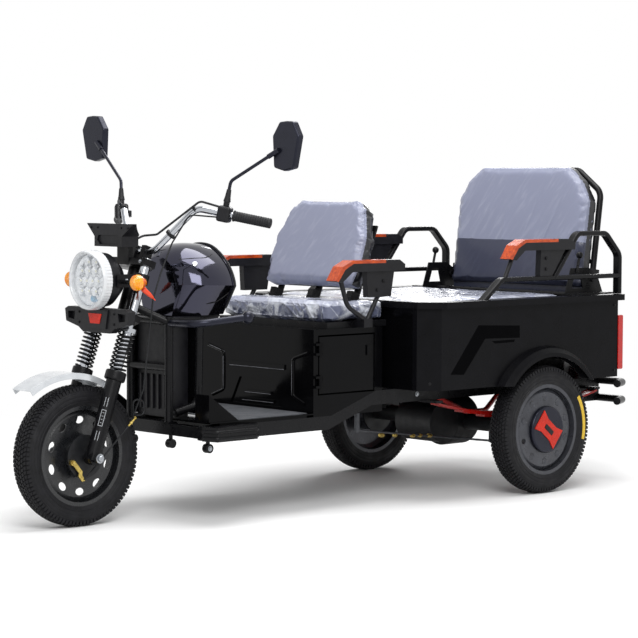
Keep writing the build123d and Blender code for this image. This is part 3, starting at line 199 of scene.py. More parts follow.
# Each finish: its key, the material's name, its colour (or the setting that holds it), its roughness, then
# what Finish.uneven, Finish.toned and Finish.relief take, and constants on the shader's own sockets.
FINISHES = (
    # Stoved enamel on pressed steel: wet gloss over black, faint orange peel of the spray gun.
    ("enamel", "stoved_enamel_black", "enamel", 0.1, (90, 0.06, 0.16), ("070709", 0.6), (6, 0.02),
     {"Specular IOR Level": 0.09}),
    # A second coat on the cover between the knees, polished: it mirrors the sky, whose blue is painted into
    # the reflection by the pale blue specular tint.
    ("tank_enamel", "polished_enamel_black", "enamel", 0.06, (90, 0.03, 0.1), ("0d0d12", 0.6), (7, 0.02),
     {"Specular IOR Level": 0.75, "Specular Tint": linear("dcdcff")}),
    # The same enamel, rubbed satin, as on the bed's sides.
    ("satin", "satin_enamel_charcoal", "08080a", 0.3, (70, 0.24, 0.36), ("0d0d10", 0.7), (4, 0.03),
     {"Specular IOR Level": 0.075}),
    # Polyester powder coat, baked: pebbled skin and a half gloss.
    ("powder", "powder_coat_black", "powder", 0.3, (30, 0.22, 0.4), ("0f0f11", 0.5), (1.6, 0.04),
     {"Specular IOR Level": 0.16}),
    # Cast and machined steel under thin black paint: dull, with rubbed places.
    ("axle_paint", "painted_cast_steel", "0e0f11", 0.45, (25, 0.36, 0.6), ("1b1c1f", 0.6, 18), (2.5, 0.15),
     {"Specular IOR Level": 0.3}),
    # Nickel and chrome plate on polished tube: near mirror, with a trace of polishing lines.
    ("chrome", "chrome_plated_tube", "b6b9be", 0.07, (25, 0.04, 0.14), ("b9bcc2", 0.5, 20), (3, 0.01),
     {"Metallic": 1.0}),
    # Bright zinc plate: grey, grainy, half dull.
    ("zinc", "bright_zinc_plate", "a9acb0", 0.35, (4, 0.25, 0.5), ("7d8187", 0.7, 5), (1, 0.02),
     {"Metallic": 1.0}),
    # Zinc plate gone dull under road dust.
    ("dull_zinc", "dull_zinc_plate", "5d5f63", 0.5, (5, 0.4, 0.65), ("3f4043", 0.7, 12), None,
     {"Metallic": 0.9}),
    # Yellow passivated zinc: gold with green and rose patches from the dip.
    ("gold_zinc", "yellow_passivated_zinc", "c4ad62", 0.34, (5, 0.24, 0.5), ("8f7a3c", 0.8, 9), (1, 0.02),
     {"Metallic": 0.9}),
    # Vulcanised rubber from a spark-cut mould: deep black, dusty in the grooves.
    ("rubber", "moulded_tyre_rubber", "0c0c0e", 0.6, (30, 0.48, 0.72), ("19191d", 0.6, 25), (1.4, 0.12),
     {"Specular IOR Level": 0.22}),
    # Soft rubber of grips and caps, moulded matt.
    ("soft_rubber", "moulded_soft_rubber", "0f1012", 0.58, (12, 0.48, 0.7), ("1a1b1f", 0.5, 14), (1.2, 0.1),
     {"Specular IOR Level": 0.28}),
    # Ribbed rubber mat: grey with trodden dust.
    ("mat", "rubber_floor_mat", "3b3d41", 0.7, (35, 0.6, 0.85), ("55575c", 0.6, 40), (1.8, 0.2), {}),
    # Pressed steel wheel, dipped in grey paint: soft sheen.
    ("rim_grey", "wheel_enamel_grey", "35363b", 0.3, (20, 0.24, 0.4), ("47494f", 0.6, 30), (3, 0.04),
     {"Metallic": 0.35}),
    # Pressed steel wheel in black enamel.
    ("rim_black", "wheel_enamel_black", "121315", 0.28, (20, 0.2, 0.38), ("1e1f22", 0.6, 30), (3, 0.04), {}),
    # Polypropylene, injection moulded with a fine spark grain.
    ("pp", "moulded_polypropylene", "0a0a0d", 0.42, (15, 0.36, 0.52), ("15151a", 0.5, 30), (0.9, 0.06),
     {"Specular IOR Level": 0.26}),
    # ABS, injection moulded and polished; the pale blue specular tint is a painted sky reflection.
    ("abs", "moulded_abs_black", "0b0c12", 0.3, (30, 0.24, 0.38), ("14151d", 0.5, 30), (4, 0.02),
     {"Specular IOR Level": 0.34, "Specular Tint": linear("dfe2ff")}),
    # White ABS ring of the headlamp.
    ("abs_white", "moulded_abs_white", "c9cbcd", 0.25, (25, 0.2, 0.34), ("b5b8bc", 0.6, 20), (4, 0.02), {}),
    # Silver-white enamel on the pressed mudguard, with small flakes.
    ("fender", "silver_white_enamel", "fender", 0.2, (50, 0.1, 0.24), ("a9adb2", 0.7, 50), (5, 0.02),
     {"Metallic": 0.35, "Coat Weight": 0.3, "Coat Roughness": 0.04}),
    # Polymethyl methacrylate, moulded and tinted right through.
    ("amber", "tinted_acrylic_amber", "amber", 0.12, (12, 0.08, 0.2), ("e07c04", 0.8, 16), (3, 0.03),
     {"Subsurface Weight": 0.25, "Subsurface Scale": 0.01, "Coat Weight": 0.8, "Coat Roughness": 0.03}),
    # Amber acrylic again, deeper where the cup is thick.
    ("amber_deep", "tinted_acrylic_orange", "e06a06", 0.16, (12, 0.1, 0.24), ("c65204", 0.8, 16), (3, 0.03),
     {"Subsurface Weight": 0.15, "Subsurface Scale": 0.01, "Coat Weight": 0.6, "Coat Roughness": 0.04}),
    # Red acrylic of the tail lamps.
    ("red", "tinted_acrylic_red", "red", 0.16, (12, 0.1, 0.22), ("b8120a", 0.8, 20), (3, 0.03),
     {"Subsurface Weight": 0.05, "Subsurface Scale": 0.01, "Coat Weight": 0.2, "Coat Roughness": 0.03}),
    # Blue acrylic of the pilot lamp and the buttons.
    ("blue", "tinted_acrylic_blue", "4b9fc4", 0.2, (4, 0.14, 0.3), ("2f7fae", 0.6, 6), None, {}),
    # Red enamel on springs and plates: brushed on, a little uneven.
    ("red_enamel", "red_enamel", "springs", 0.3, (18, 0.22, 0.42), ("8a120d", 0.7, 25), (2.5, 0.05), {}),
    # Orange-red enamel of the hub plates, sprayed and glossy.
    ("plate_red", "sprayed_enamel_red", "c22208", 0.24, (18, 0.18, 0.34), ("a81a06", 0.7, 25), (3, 0.03),
     {"Specular IOR Level": 0.3}),
    # Printed wood look under lacquer: long orange grain, darker along the pores.
    ("wood", "printed_wood_lacquered", "wood", 0.2, (30, 0.14, 0.26), ("7c2206", 0.85, 9, (0.3, 1, 1)),
     (3, 0.02), {"Specular IOR Level": 0.3, "Coat Weight": 0.25, "Coat Roughness": 0.05}),
    # Silvered glass.
    ("mirror", "silvered_glass", "c9ced3", 0.02, (40, 0.01, 0.04), ("b5bac0", 0.4), None, {"Metallic": 1.0}),
    # Clear polycarbonate of the headlamp: seen through, with a bright skin.
    ("clear", "clear_polycarbonate", "f4f7fa", 0.04, (20, 0.02, 0.07), None, None, {"Alpha": 0.16}),
    # Vapour-coated aluminium on the lamp's reflector cups.
    ("reflector", "aluminised_reflector", "e3e5e8", 0.14, (8, 0.08, 0.24), ("c6cacf", 0.6, 10), (2, 0.02),
     {"Metallic": 0.85}),
    # Phosphor of the diodes.
    ("diode", "diode_phosphor", "f2eecb", 0.4, (4, 0.3, 0.5), ("f9f8ef", 0.6, 4), None, {}),
    # Silicone boot over a terminal: orange-red, half dull.
    ("boot", "silicone_boot_orange", "d8431d", 0.38, (8, 0.3, 0.5), ("b83214", 0.7, 10), (2, 0.05), {}),
    # Gloss vinyl film, cut and stuck on.
    ("stripe", "cut_film_black", "010102", 0.22, (40, 0.18, 0.3), ("020203", 0.5), None,
     {"Specular IOR Level": 0.02}),
    # Film label printed in plain yellow.
    ("label", "printed_film_yellow", "d9b62a", 0.4, (6, 0.3, 0.5), ("b8921e", 0.6, 7), None, {}),
    # Line printing on the legs.
    ("ink", "screen_print_white", "b9bcc0", 0.45, (6, 0.4, 0.55), ("93979c", 0.5, 6), None, {}),
    # Painted highlight: pale bars standing for the light caught on the edges of the pressed beads.
    ("bead_highlight", "rubbed_enamel_edge", "6c6d74", 0.3, (8, 0.22, 0.45), ("2c2d31", 0.8, 30), None, {}),
)


def make_finishes():
    """Every material of the machine, by the name of its finish."""
    chosen = colours()
    made = {}
    for key, name, colour, rough, uneven, toned, relief, sockets in FINISHES:
        made[key] = Finish(name, getattr(chosen, colour, colour), rough, sockets).uneven(*uneven)
        if toned:
            made[key].toned(*toned)
        if relief:
            made[key].relief(*relief)
    made["vinyl"] = stretched_vinyl("calendered_vinyl_grey", chosen.vinyl, "a9adbc", 0.35, 0.25)
    made["vinyl_black"] = stretched_vinyl("calendered_vinyl_black", "0b0c11", "2a2c36", 0.3, 0.5)
    made["vinyl_dark"] = stretched_vinyl("calendered_vinyl_slate", "343748", "4a4e60", 0.3, 0.3)
    # The cushions' vinyl comes in two copies, both under film: a darker one for the sides, which is painted
    # shade, and a lighter one with smoother film for the tops, which is painted light from above.
    made["film"] = filmed_vinyl("vinyl_under_film", "555a70", "dfe3ea", 0.66, 55)
    made["film_lit_top"] = filmed_vinyl("vinyl_under_smooth_film", "9a9eb0", "dfe3ea", 0.5, 90)
    return {key: finish.material for key, finish in made.items()}


def stretched_vinyl(name, colour, pale, share, film):
    # Calendered vinyl pulled over foam, half dull, with a thin film on it: long leaning pulls,
    # a fine grain, and paler threads where the pulls catch the light.
    look = Finish(name, colour, 0.42, {"Specular IOR Level": 0.3, "Coat Weight": film,
                                       "Coat Roughness": 0.12})
    look.uneven(24, 0.34, 0.5)
    turned_place = look.add("Mapping", {"Vector": look.place, "Rotation": (0.6, 0, 0)}).outputs[0]
    narrow = look.add("Mapping", {"Vector": turned_place, "Scale": (1, 1, 0.14)}).outputs[0]
    cloud = {"Vector": narrow, "Scale": 62, "Detail": 3, "Distortion": 0.4}
    threads = look.add("TexNoise", cloud).outputs[0]
    low = look.mottle(110, 0, 1)
    span = {"Value": threads, "From Min": 0.5, "From Max": 0.75, "To Min": 0.0, "To Max": share}
    thread = look.add("MapRange", span).outputs[0]
    amount = look.add("Math", {0: thread, 1: low}, operation="MULTIPLY").outputs[0]
    mix = look.add("Mix", {0: amount, 6: look.colour, 7: linear(pale)}, data_type="RGBA")
    look.tree.links.new(mix.outputs[2], look.shader.inputs["Base Color"])
    grain = look.add("Math", {0: look.mottle(1.5, 0, 0.05), 1: amount}, operation="ADD").outputs[0]
    for socket in ("Normal", "Coat Normal"):
        bump = look.add("Bump", {"Strength": 0.35, "Distance": 3 * MM, "Height": grain})
        look.tree.links.new(bump.outputs[0], look.shader.inputs[socket])
    return look


def filmed_vinyl(name, colour, pale, share, millimetres):
    # The same vinyl under loose polythene: the film adds a clear wet skin; the pale patches and few sharp
    # lines of its crumples are painted highlights in the base colour.
    look = Finish(name, colour, 0.4, {"Specular IOR Level": 0.3, "Coat Weight": 1.0, "Coat Roughness": 0.05})
    look.uneven(24, 0.3, 0.5)
    bend = look.add("TexNoise", {"Vector": look.place, "Scale": 22, "Detail": 4})
    bent = look.add("VectorMath", {0: bend.outputs["Color"], 1: (0.05, 0.05, 0.05), 2: look.place},
                    operation="MULTIPLY_ADD")
    cell = look.add("TexVoronoi", {"Vector": bent.outputs[0], "Scale": 1000 / millimetres},
                    feature="DISTANCE_TO_EDGE")
    span = {"Value": cell.outputs["Distance"], "From Min": 0.0, "From Max": 0.05, "To Min": 1.0,
            "To Max": 0.0}
    line = look.add("MapRange", span, interpolation_type="SMOOTHSTEP").outputs[0]
    lines = look.add("Math", {0: line, 1: look.mottle(45, 0, 0.9)}, operation="MULTIPLY").outputs[0]
    cloud = {"Vector": bent.outputs[0], "Scale": 16, "Detail": 3, "Roughness": 0.5}
    crumple = look.add("TexNoise", cloud).outputs[0]
    span = {"Value": crumple, "From Min": 0.48, "From Max": 0.62, "To Min": 0.0, "To Max": 1.0}
    patch = look.add("MapRange", span, interpolation_type="SMOOTHSTEP").outputs[0]
    both = look.add("Math", {0: lines, 1: patch}, operation="MAXIMUM").outputs[0]
    white = look.add("Math", {0: both, 1: share}, operation="MULTIPLY").outputs[0]
    mix = look.add("Mix", {0: white, 6: look.colour, 7: linear(pale)}, data_type="RGBA")
    look.tree.links.new(mix.outputs[2], look.shader.inputs["Base Color"])
    for strength, height, socket in ((0.3, both, "Normal"), (1.0, crumple, "Coat Normal")):
        bump = look.add("Bump", {"Strength": strength, "Distance": 6 * MM, "Height": height})
        look.tree.links.new(bump.outputs[0], look.shader.inputs[socket])
    return look


# Which finish each carried-over part wears.
WORN = {
    "tank_enamel": "tank",
    "enamel": "floorboard seat_box box_door tailgate bed_tub rear_deck",
    "satin": "bed_sides arch_flares",
    "powder": "frame front_column seat_frame bed_rails rear_back_frame back_brackets rear_bumper "
              "fork_lowers fork_clamps lamp_bracket fork_springs",
    "axle_paint": "rear_axle front_axle",
    "red_enamel": "leaf_springs",
    "plate_red": "cap_plate_left cap_plate_right trim_plate",
    "dull_zinc": "brake_linkage",
    "gold_zinc": "brake_arm",
    "chrome": "fork_tubes handlebar",
    "soft_rubber": "grips cables",
    "pp": "armrests switch_pods front_trim instrument_cowl headlamp_shell battery controller_box",
    "abs": "hub_cap_left hub_cap_right mirrors knee_guards",
    "abs_white": "headlamp_bezel",
    "wood": "armrest_strips",
    "mirror": "mirror_glasses",
    "clear": "headlamp_lens",
    "amber": "indicators",
    "red": "tail_lamps",
    "fender": "front_fender",
    "rim_black": "rim_front",
    "rim_grey": "rim_rear_left rim_rear_right",
    "rubber": "tyre_front tyre_rear_left tyre_rear_right",
    "film": "driver_cushion rear_cushion",
    "vinyl": "driver_backrest rear_backrest",
}
LOOKS = {}


def dress(obj, look):
    """Puts one finish on all of an object."""
    obj.data.materials.clear()
    obj.data.materials.append(LOOKS[look])


# ---------------------------------------------------------------- meshes

def piece(name, mesh, body, look=None, smooth=True):
    """A new piece from a bmesh or a mesh, riding on a body."""
    if isinstance(mesh, bmesh.types.BMesh):
        built = mesh
        mesh = bpy.data.meshes.new(name)
        bmesh.ops.recalc_face_normals(built, faces=built.faces)
        built.to_mesh(mesh)
        built.free()
    obj = bpy.data.objects.new(name, mesh)
    bpy.context.scene.collection.objects.link(obj)
    if look:
        dress(obj, look)
    if smooth:
        mesh.shade_smooth()
        mesh.set_sharp_from_angle(angle=math.radians(38))
    if body:
        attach(obj, body)
    return obj


def fitted(name, mesh, body, look, instead=None, smooth=True):
    """A new piece with its slot; instead names the carried-over part whose place it takes."""
    made = piece(name, mesh, body, look, smooth)
    if instead:
        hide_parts(instead)
    return made


def ring_of(built, points):
    return [built.verts.new(p) for p in points]


def bridge(built, first, second):
    """Quads between two closed rings of points."""
    count = len(first)
    for i in range(count):
        j = (i + 1) % count
        built.faces.new((first[i], first[j], second[j], second[i]))


def lathe(built, profile, centre, steps):
    """Turns a closed profile of (radius, place along Y) about the line along Y through centre."""
    rings = []
    for r, a in profile:
        points = []
        for i in range(steps):
            t = 2 * math.pi * i / steps
            points.append(centre + Vector((r * math.cos(t), a, r * math.sin(t))))
        rings.append(ring_of(built, points))
    for first, second in zip(rings, rings[1:] + rings[:1]):
        bridge(built, first, second)


def prism(built, base, top):
    """A closed block between two outlines with the same number of points."""
    low, high = ring_of(built, base), ring_of(built, top)
    bridge(built, low, high)
    built.faces.new(list(reversed(low)))
    built.faces.new(high)


def turned(built, profile, base, way, steps=24):
    """A solid turned about the line from base along way; the profile lists (along, radius) in millimetres."""
    way = way.normalized()
    side = way.orthogonal().normalized()
    up = way.cross(side)
    turns = [2 * math.pi * i / steps for i in range(steps)]
    rings = [ring_of(built, [base + (way * a + (side * math.cos(t) + up * math.sin(t)) * r) * MM
                             for t in turns]) for a, r in profile]
    for first, second in zip(rings, rings[1:]):
        bridge(built, first, second)
    built.faces.new(list(reversed(rings[0])))
    built.faces.new(rings[-1])


def bar(built, points, radius, sides=12):
    """A round bar along points; radius, in millimetres, is one value or one for each point."""
    radii = radius if isinstance(radius, (list, tuple)) else [radius] * len(points)
    side, rings = None, []
    for i, (p, r) in enumerate(zip(points, radii)):
        way = (points[min(i + 1, len(points) - 1)] - points[max(i - 1, 0)]).normalized()
        side = (side - way * side.dot(way)).normalized() if side else way.orthogonal().normalized()
        up = way.cross(side)
        turns = [2 * math.pi * k / sides for k in range(sides)]
        rings.append(ring_of(built, [p + (side * math.cos(t) + up * math.sin(t)) * r * MM for t in turns]))
    for first, second in zip(rings, rings[1:]):
        bridge(built, first, second)
    built.faces.new(list(reversed(rings[0])))
    built.faces.new(rings[-1])


def through(points, per=8):
    """A smooth line through the points, with per steps between neighbours."""
    line = []
    for i in range(len(points) - 1):
        a, b, c, d = (points[max(i - 1, 0)], points[i], points[i + 1], points[min(i + 2, len(points) - 1)])
        for k in range(per):
            t = k / per
            line.append(0.5 * (2 * b + (c - a) * t + (2 * a - 5 * b + 4 * c - d) * t * t
                               + (3 * b - a - 3 * c + d) * t ** 3))
    return line + [points[-1]]


def bolt(built, place, way, radius):
    """Hexagon head on its washer; radius is the head's, in millimetres."""
    washer = radius * 1.4
    turned(built, [(-1, washer), (radius * 0.2, washer), (radius * 0.22, radius * 1.3)], place, way, 20)
    turned(built, [(0, radius), (radius * 0.8, radius), (radius * 0.95, radius * 0.82)], place, way, 6)


TREES = {}


def tree_of(node):
    """The search tree of a carried-over part's faces."""
    if node not in TREES:
        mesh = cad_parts[node].data
        TREES[node] = BVHTree.FromPolygons([v.co for v in mesh.vertices],
                                           [p.vertices for p in mesh.polygons])
    return TREES[node]


def landed(node, start, way):
    """Where the line from start along way first meets a carried-over part, and the way out of its face."""
    place, normal = tree_of(node).ray_cast(start, way)[:2]
    if place is None:
        return None, None
    return place, normal if normal.dot(way) < 0 else -normal


# ---------------------------------------------------------------- tyres

def tyre_mesh(centre):
    """Carcass with grooved sidewalls, and tread blocks in staggered rows."""
    depth, half = sizes().tread_depth, tyre_width / 2
    radius = tyre_radius
    built = bmesh.new()
    right = [
        (radius - depth, 0.0), (radius - depth - 0.0008, 0.012), (radius - depth - 0.0028, 0.022),
        (radius - depth - 0.0065, 0.031), (radius - 0.019, half - 0.0035), (radius - 0.024, half - 0.0012),
        (radius - 0.0255, half - 0.0016), (radius - 0.027, half - 0.0004), (radius - 0.036, half),
        (radius - 0.0375, half - 0.0008), (radius - 0.039, half), (radius - 0.050, half - 0.0015),
        (radius - 0.0515, half - 0.0026), (radius - 0.053, half - 0.0016), (radius - 0.061, half - 0.0042),
        (radius - 0.0645, half - 0.0066), (radius - 0.067, 0.0329), (radius - 0.0665, 0.0302),
        (radius - 0.0762, 0.0298), (radius - 0.0762, 0.0),
    ]
    profile = right + [(r, -a) for r, a in reversed(right[1:-1])]
    lathe(built, profile, centre, 120)
    pitches = round(2 * math.pi * radius / sizes().tread_pitch)
    step = 2 * math.pi / pitches

    def on(angle, across, drop):
        # The crown falls away towards the shoulders like a flat arch.
        r = radius - drop - 0.0062 * (abs(across) / 0.034) ** 2.6
        return centre + Vector((r * math.cos(angle), across, r * math.sin(angle)))

    rows = [(-0.0285, 0.0095, 0.5), (-0.0175, 0.0085, 0.0), (-0.006, 0.009, 0.5), (0.006, 0.009, 0.0),
            (0.0175, 0.0085, 0.5), (0.0285, 0.0095, 0.0)]
    for middle, wide, offset in rows:
        for i in range(pitches):
            a0 = (i + offset) * step
            a1 = a0 + step * 0.72
            skew = step * (0.28 if middle > 0 else -0.28)
            near, far = middle - wide / 2, middle + wide / 2
            corners = [(a0, near), (a1, near), (a1 + skew, far), (a0 + skew, far)]
            base = [on(a, y, depth + 0.001) for a, y in corners]
            mid_a = sum(a for a, _ in corners) / 4
            top = [on(mid_a + (a - mid_a) * 0.9, middle + (y - middle) * 0.88, 0) for a, y in corners]
            prism(built, base, top)
    for side in (1, -1):
        for i in range(pitches):
            a0 = (i + 0.25) * step
            a1 = a0 + step * 0.66
            base, top = [], []
            for a, r, y in ((a0, radius - 0.0078, 0.0355), (a1, radius - 0.0078, 0.0355),
                            (a1, radius - 0.0195, half - 0.003), (a0, radius - 0.0195, half - 0.003)):
                for points, r, y in ((base, r - 0.003, y - 0.003), (top, r + 0.0012, y + 0.0006)):
                    points.append(centre + Vector((r * math.cos(a), side * y, r * math.sin(a))))
            prism(built, base, top)
    return built


class TRIKE_OT_tyres(bpy.types.Operator):
    """Tyres with staggered tread blocks and ringed sidewalls"""
    bl_idname = "trike.tyres"
    bl_label = "Tyres"

    def execute(self, context):
        for key, body, x, y in (("front", "front_wheel", front_axle_x, 0.0),
                                ("rear_left", "rear_wheel_left", axle_x, rear_track / 2),
                                ("rear_right", "rear_wheel_right", axle_x, -rear_track / 2)):
            built = tyre_mesh(Vector((x, y, tyre_radius)))
            fitted(f"treaded_tyre_{key}", built, body, "rubber", f"tyre_{key}")
        return {"FINISHED"}


# ---------------------------------------------------------------- seats

# Height of the hem where the grey cover of the passengers' backrest ends.
HEM = 0.888
# How far a cover starts inside its solid, and how hard its filling presses.
COVER_INSET = 0.008
FILLING_PRESSURE = 4.0


def cover_from(name, node, voxel):
    """A closed, even mesh a little inside a pad's solid, ready to be filled."""
    low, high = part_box(node)
    middle = (low + high) / 2
    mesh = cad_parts[node].data.copy()
    mesh.name = name
    for v in mesh.vertices:
        v.co = Vector(middle[i] + (v.co[i] - middle[i]) * (1 - 2 * COVER_INSET / (high[i] - low[i]))
                      for i in range(3))
    mesh.materials.clear()
    obj = bpy.data.objects.new(name, mesh)
    bpy.context.scene.collection.objects.link(obj)
    remesh = obj.modifiers.new("even", "REMESH")
    remesh.mode = "VOXEL"
    remesh.voxel_size = voxel
    bake(obj)
    return obj


def bake(obj):
    """Puts the modifiers' result into the mesh."""
    graph = bpy.context.evaluated_depsgraph_get()
    done = bpy.data.meshes.new_from_object(obj.evaluated_get(graph))
    obj.modifiers.clear()
    old, obj.data = obj.data, done
    done.name = obj.name
    bpy.data.meshes.remove(old)


def fill(obj, pressure, cap, steps=20):
    """Blows the cover up like a stuffed pad; no point moves further than cap."""
    rest = [v.co.copy() for v in obj.data.vertices]
    cloth = obj.modifiers.new("filling", "CLOTH")
    set_up = cloth.settings
    set_up.use_pressure = True
    set_up.uniform_pressure_force = pressure
    set_up.quality = 4
    set_up.mass = 0.3
    set_up.tension_stiffness = set_up.compression_stiffness = 12
    set_up.shear_stiffness = 6
    set_up.bending_stiffness = 0.8
    set_up.effector_weights.gravity = 0
    scene = bpy.context.scene
    for step in range(1, steps + 1):
        scene.frame_set(step)
    bake(obj)
    scene.frame_set(1)
    for v, start in zip(obj.data.vertices, rest):
        move = v.co - start
        if move.length > cap:
            v.co = start + move * (cap / move.length)


def creased(obj, height_at, amount):
    """Moves points along their normals by the pattern that height_at gives."""
    normals = [v.normal.copy() for v in obj.data.vertices]
    for v, n in zip(obj.data.vertices, normals):
        v.co += n * (amount * height_at(v.co, n))
    obj.data.update()


def subdivided(obj):
    smooth = obj.modifiers.new("smooth", "SUBSURF")
    smooth.levels = smooth.render_levels = 1
    bake(obj)


def ridged(q, power):
    return max(1 - abs(noise.noise(q)) * 2, 0) ** power


def film_crease(p, n):
    """Sharp irregular ridges of polythene film, gathered where the cover turns down."""
    q = Vector((p.x * 13, p.y * 9, p.z * 13))
    warp = Vector([noise.noise(q * 0.7 + Vector(k)) for k in ((5, 0, 0), (0, 0, 0), (0, 9, 0))])
    turn_down = 0.45 + 0.9 * (1 - abs(n.z))
    big = ridged((q + warp * 1.3) * 1.3, 3) * 1.3
    fine = ridged((q + warp * 2) * 3.4, 5) * 0.4
    return (big + fine + noise.noise(q * 0.8) * 0.6 - 0.5) * turn_down


def pull_crease(p, n, lean, across, along, low, high):
    """Long pulls of a stretched cover: they lean, and fade from height low up to high."""
    u = p.y * math.cos(lean) - p.z * math.sin(lean)
    v = p.y * math.sin(lean) + p.z * math.cos(lean)
    q = Vector((u * across, v * along, p.x * 6))
    fade = min(max((high - p.z) / (high - low), 0.0), 1.0)
    patch = 0.5 + 0.9 * noise.noise(Vector((p.y * 5, p.z * 5, 3.0)))
    return (ridged(q, 4) - 0.25) * max(patch, 0) * (0.08 + 0.92 * fade) + 0.25 * noise.noise(p * 6)


def facing(n):
    """1 on the front of a backrest, fading to 0 where it rounds off to its sides."""
    return min(max((n.x - 0.55) / 0.35, 0.0), 1.0)


def driver_back_crease(p, n):
    return 0.6 * facing(n) * pull_crease(p, n, 0.7, 34, 7, 0.78, 0.98) + 0.08 * noise.noise(p * 7)


def passenger_back_crease(p, n):
    if p.z < HEM:
        return 0.1 * noise.noise(p * 6)
    return 1.8 * facing(n) * pull_crease(p, n, 0.42, 13, 2.2, 0.86, 1.14) + 0.1 * noise.noise(p * 6)


def make_pad(name, node, body, voxel, crease, share, looks, choose):
    """A stuffed, creased and dressed cover in a pad's place."""
    pad = cover_from(name, node, voxel)
    fill(pad, FILLING_PRESSURE, sizes().seat_puff * 0.5)
    subdivided(pad)
    creased(pad, crease, sizes().film_crease * share)
    pad.data.shade_smooth()
    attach(pad, body)
    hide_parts(node)
    dress_faces(pad, node, looks, choose)


def dress_faces(pad, node, looks, choose):
    """Several finishes on one pad; choose picks one from the place on the plain part under each face."""
    pad.data.materials.clear()
    for look in looks:
        pad.data.materials.append(LOOKS[look])
    for face in pad.data.polygons:
        place, out = tree_of(node).find_nearest(face.center)[:2]
        face.material_index = choose(place, out if out.dot(face.normal) > 0 else -out)


# Top faces take the lighter copy of the filmed vinyl and all other faces the darker copy: painted light and
# shade.
def cushion_lit_top_shaded_sides(middle, normal):
    return 1 if normal.z > 0.75 else 0


def beside(normal):
    """On a backrest's back, its left side or its top."""
    return normal.x < -0.4 or (normal.x < 0.93 and (normal.y > 0.2 or normal.z > 0.3))


def driver_back_look(middle, normal):
    return int(beside(normal))


def passenger_back_look(middle, normal):
    if beside(normal):
        return 1
    return 0 if middle.z > HEM else 2


# Each pad: its name, the solid it stands for, its body, how fine its mesh is, its creases and their share of
# the set height, and its finishes with the function that picks among them.
DRIVER_PADS = (
    ("driver_cushion_pad", "driver_cushion", "chassis", 0.005, film_crease, 1.0, ("film", "film_lit_top"),
     cushion_lit_top_shaded_sides),
    ("driver_back_pad", "driver_backrest", "chassis", 0.005, driver_back_crease, 0.8,
     ("vinyl", "vinyl_black"), driver_back_look),
)
PASSENGER_PADS = (
    ("passenger_cushion_pad", "rear_cushion", "chassis", 0.009, film_crease, 1.0, ("film", "film_lit_top"),
     cushion_lit_top_shaded_sides),
    ("passenger_back_pad", "rear_backrest", "passenger_back", 0.006, passenger_back_crease, 1.4,
     ("vinyl", "vinyl_black", "vinyl_dark"), passenger_back_look),
)


class TRIKE_OT_driver_seat(bpy.types.Operator):
    """Driver's cushion under film, and the padded backrest"""
    bl_idname = "trike.driver_seat"
    bl_label = "Driver's seat"

    def execute(self, context):
        for row in DRIVER_PADS:
            make_pad(*row)
        return {"FINISHED"}


class TRIKE_OT_passenger_seat(bpy.types.Operator):
    """Passengers' cushion under film, and the tall padded backrest"""
    bl_idname = "trike.passenger_seat"
    bl_label = "Passengers' seat"

    def execute(self, context):
        for row in PASSENGER_PADS:
            make_pad(*row)
        return {"FINISHED"}


# ---------------------------------------------------------------- lamps

SIDES = {"left": 1, "right": -1}


class TRIKE_OT_headlamp(bpy.types.Operator):
    """Ribbed white ring with a short peak, a thin cover, and the reflector with its rows of diodes"""
    bl_idname = "trike.headlamp"
    bl_label = "Headlamp"

    def execute(self, context):
        low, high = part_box("headlamp_bezel")
        face, outer = Vector((low.x, 0, (low.z + high.z) / 2)), (high.z - low.z) / 2 / MM
        ahead = Vector((1, 0, 0))
        profile = [(2, 83.8, 0), (0, outer - 3, 0), (0, outer, 1.5), (21, outer, 1.5), (23, outer - 0.6, 0.2),
                   (30, outer - 1.8, 0), (33.5, outer - 4.5, 0), (34, outer - 7.5, 0), (31, outer - 10.5, 0),
                   (29, 85.6, 0), (27.5, 85.2, 0), (27, 83.8, 0)]
        ring, steps = bmesh.new(), 336
        rings = []
        for along, radius, rib in profile:
            points = []
            for i in range(steps):
                t = 2 * math.pi * i / steps
                peak = max(0.0, math.sin(t)) ** 5
                r = radius - rib * (0.5 + 0.5 * math.cos(56 * t)) * (1 - peak)
                x = along * (1 + 0.32 * peak)
                points.append(face + Vector((x, r * math.cos(t), r * math.sin(t))) * MM)
            rings.append(ring_of(ring, points))
        for first, second in zip(rings, rings[1:] + rings[:1]):
            bridge(ring, first, second)
        fitted("headlamp_ring", ring, "steering", "abs_white", "headlamp_bezel")

        cover = bmesh.new()
        turned(cover, [(17, 83.7), (20, 83.6), (22.5, 80), (24.5, 62), (25.6, 34), (26, 4)], face, ahead, 72)
        fitted("headlamp_cover", cover, "steering", "clear", "headlamp_lens")

        dish = bmesh.new()
        turned(dish, [(0.5, 83), (14, 83.4), (15, 82), (5, 70), (3.5, 60), (3, 4)], face, ahead, 72)
        bar(dish, [face + Vector((9, y, z)) * MM for y, z in
                   ((-72, -8), (-66, 30), (-34, 66), (0, 78), (34, 66), (66, 30), (72, -8))], 2.2, 8)
        diodes = bmesh.new()
        cups = [(y, 58) for y in (-19, 19)] + [(y, 29) for y in (-54, -18, 18, 54)]
        cups += [(y, -3) for y in (-62, -31, 0, 31, 62)] + [(y, -36) for y in (-54, -18, 18, 54)]
        for y, z in cups:
            middle = face + Vector((0, y, z)) * MM
            cup = [(3, 8), (12, 14.6), (14, 15.4), (15, 15), (14.6, 13.8), (8, 8), (5.5, 4)]
            turned(dish, cup, middle, ahead, 20)
            turned(diodes, [(5, 4.2), (8.5, 4), (10, 2.6), (10.6, 0.8)], middle, ahead, 12)
        fitted("headlamp_reflector", dish, "steering", "reflector")
        fitted("headlamp_diodes", diodes, "steering", "diode")
        eye = bmesh.new()
        turned(eye, [(3, 11), (9, 10), (11, 6), (9.5, 2)], face + Vector((0, 0, -60)) * MM, ahead, 20)
        fitted("headlamp_pilot", eye, "steering", "blue")
        return {"FINISHED"}


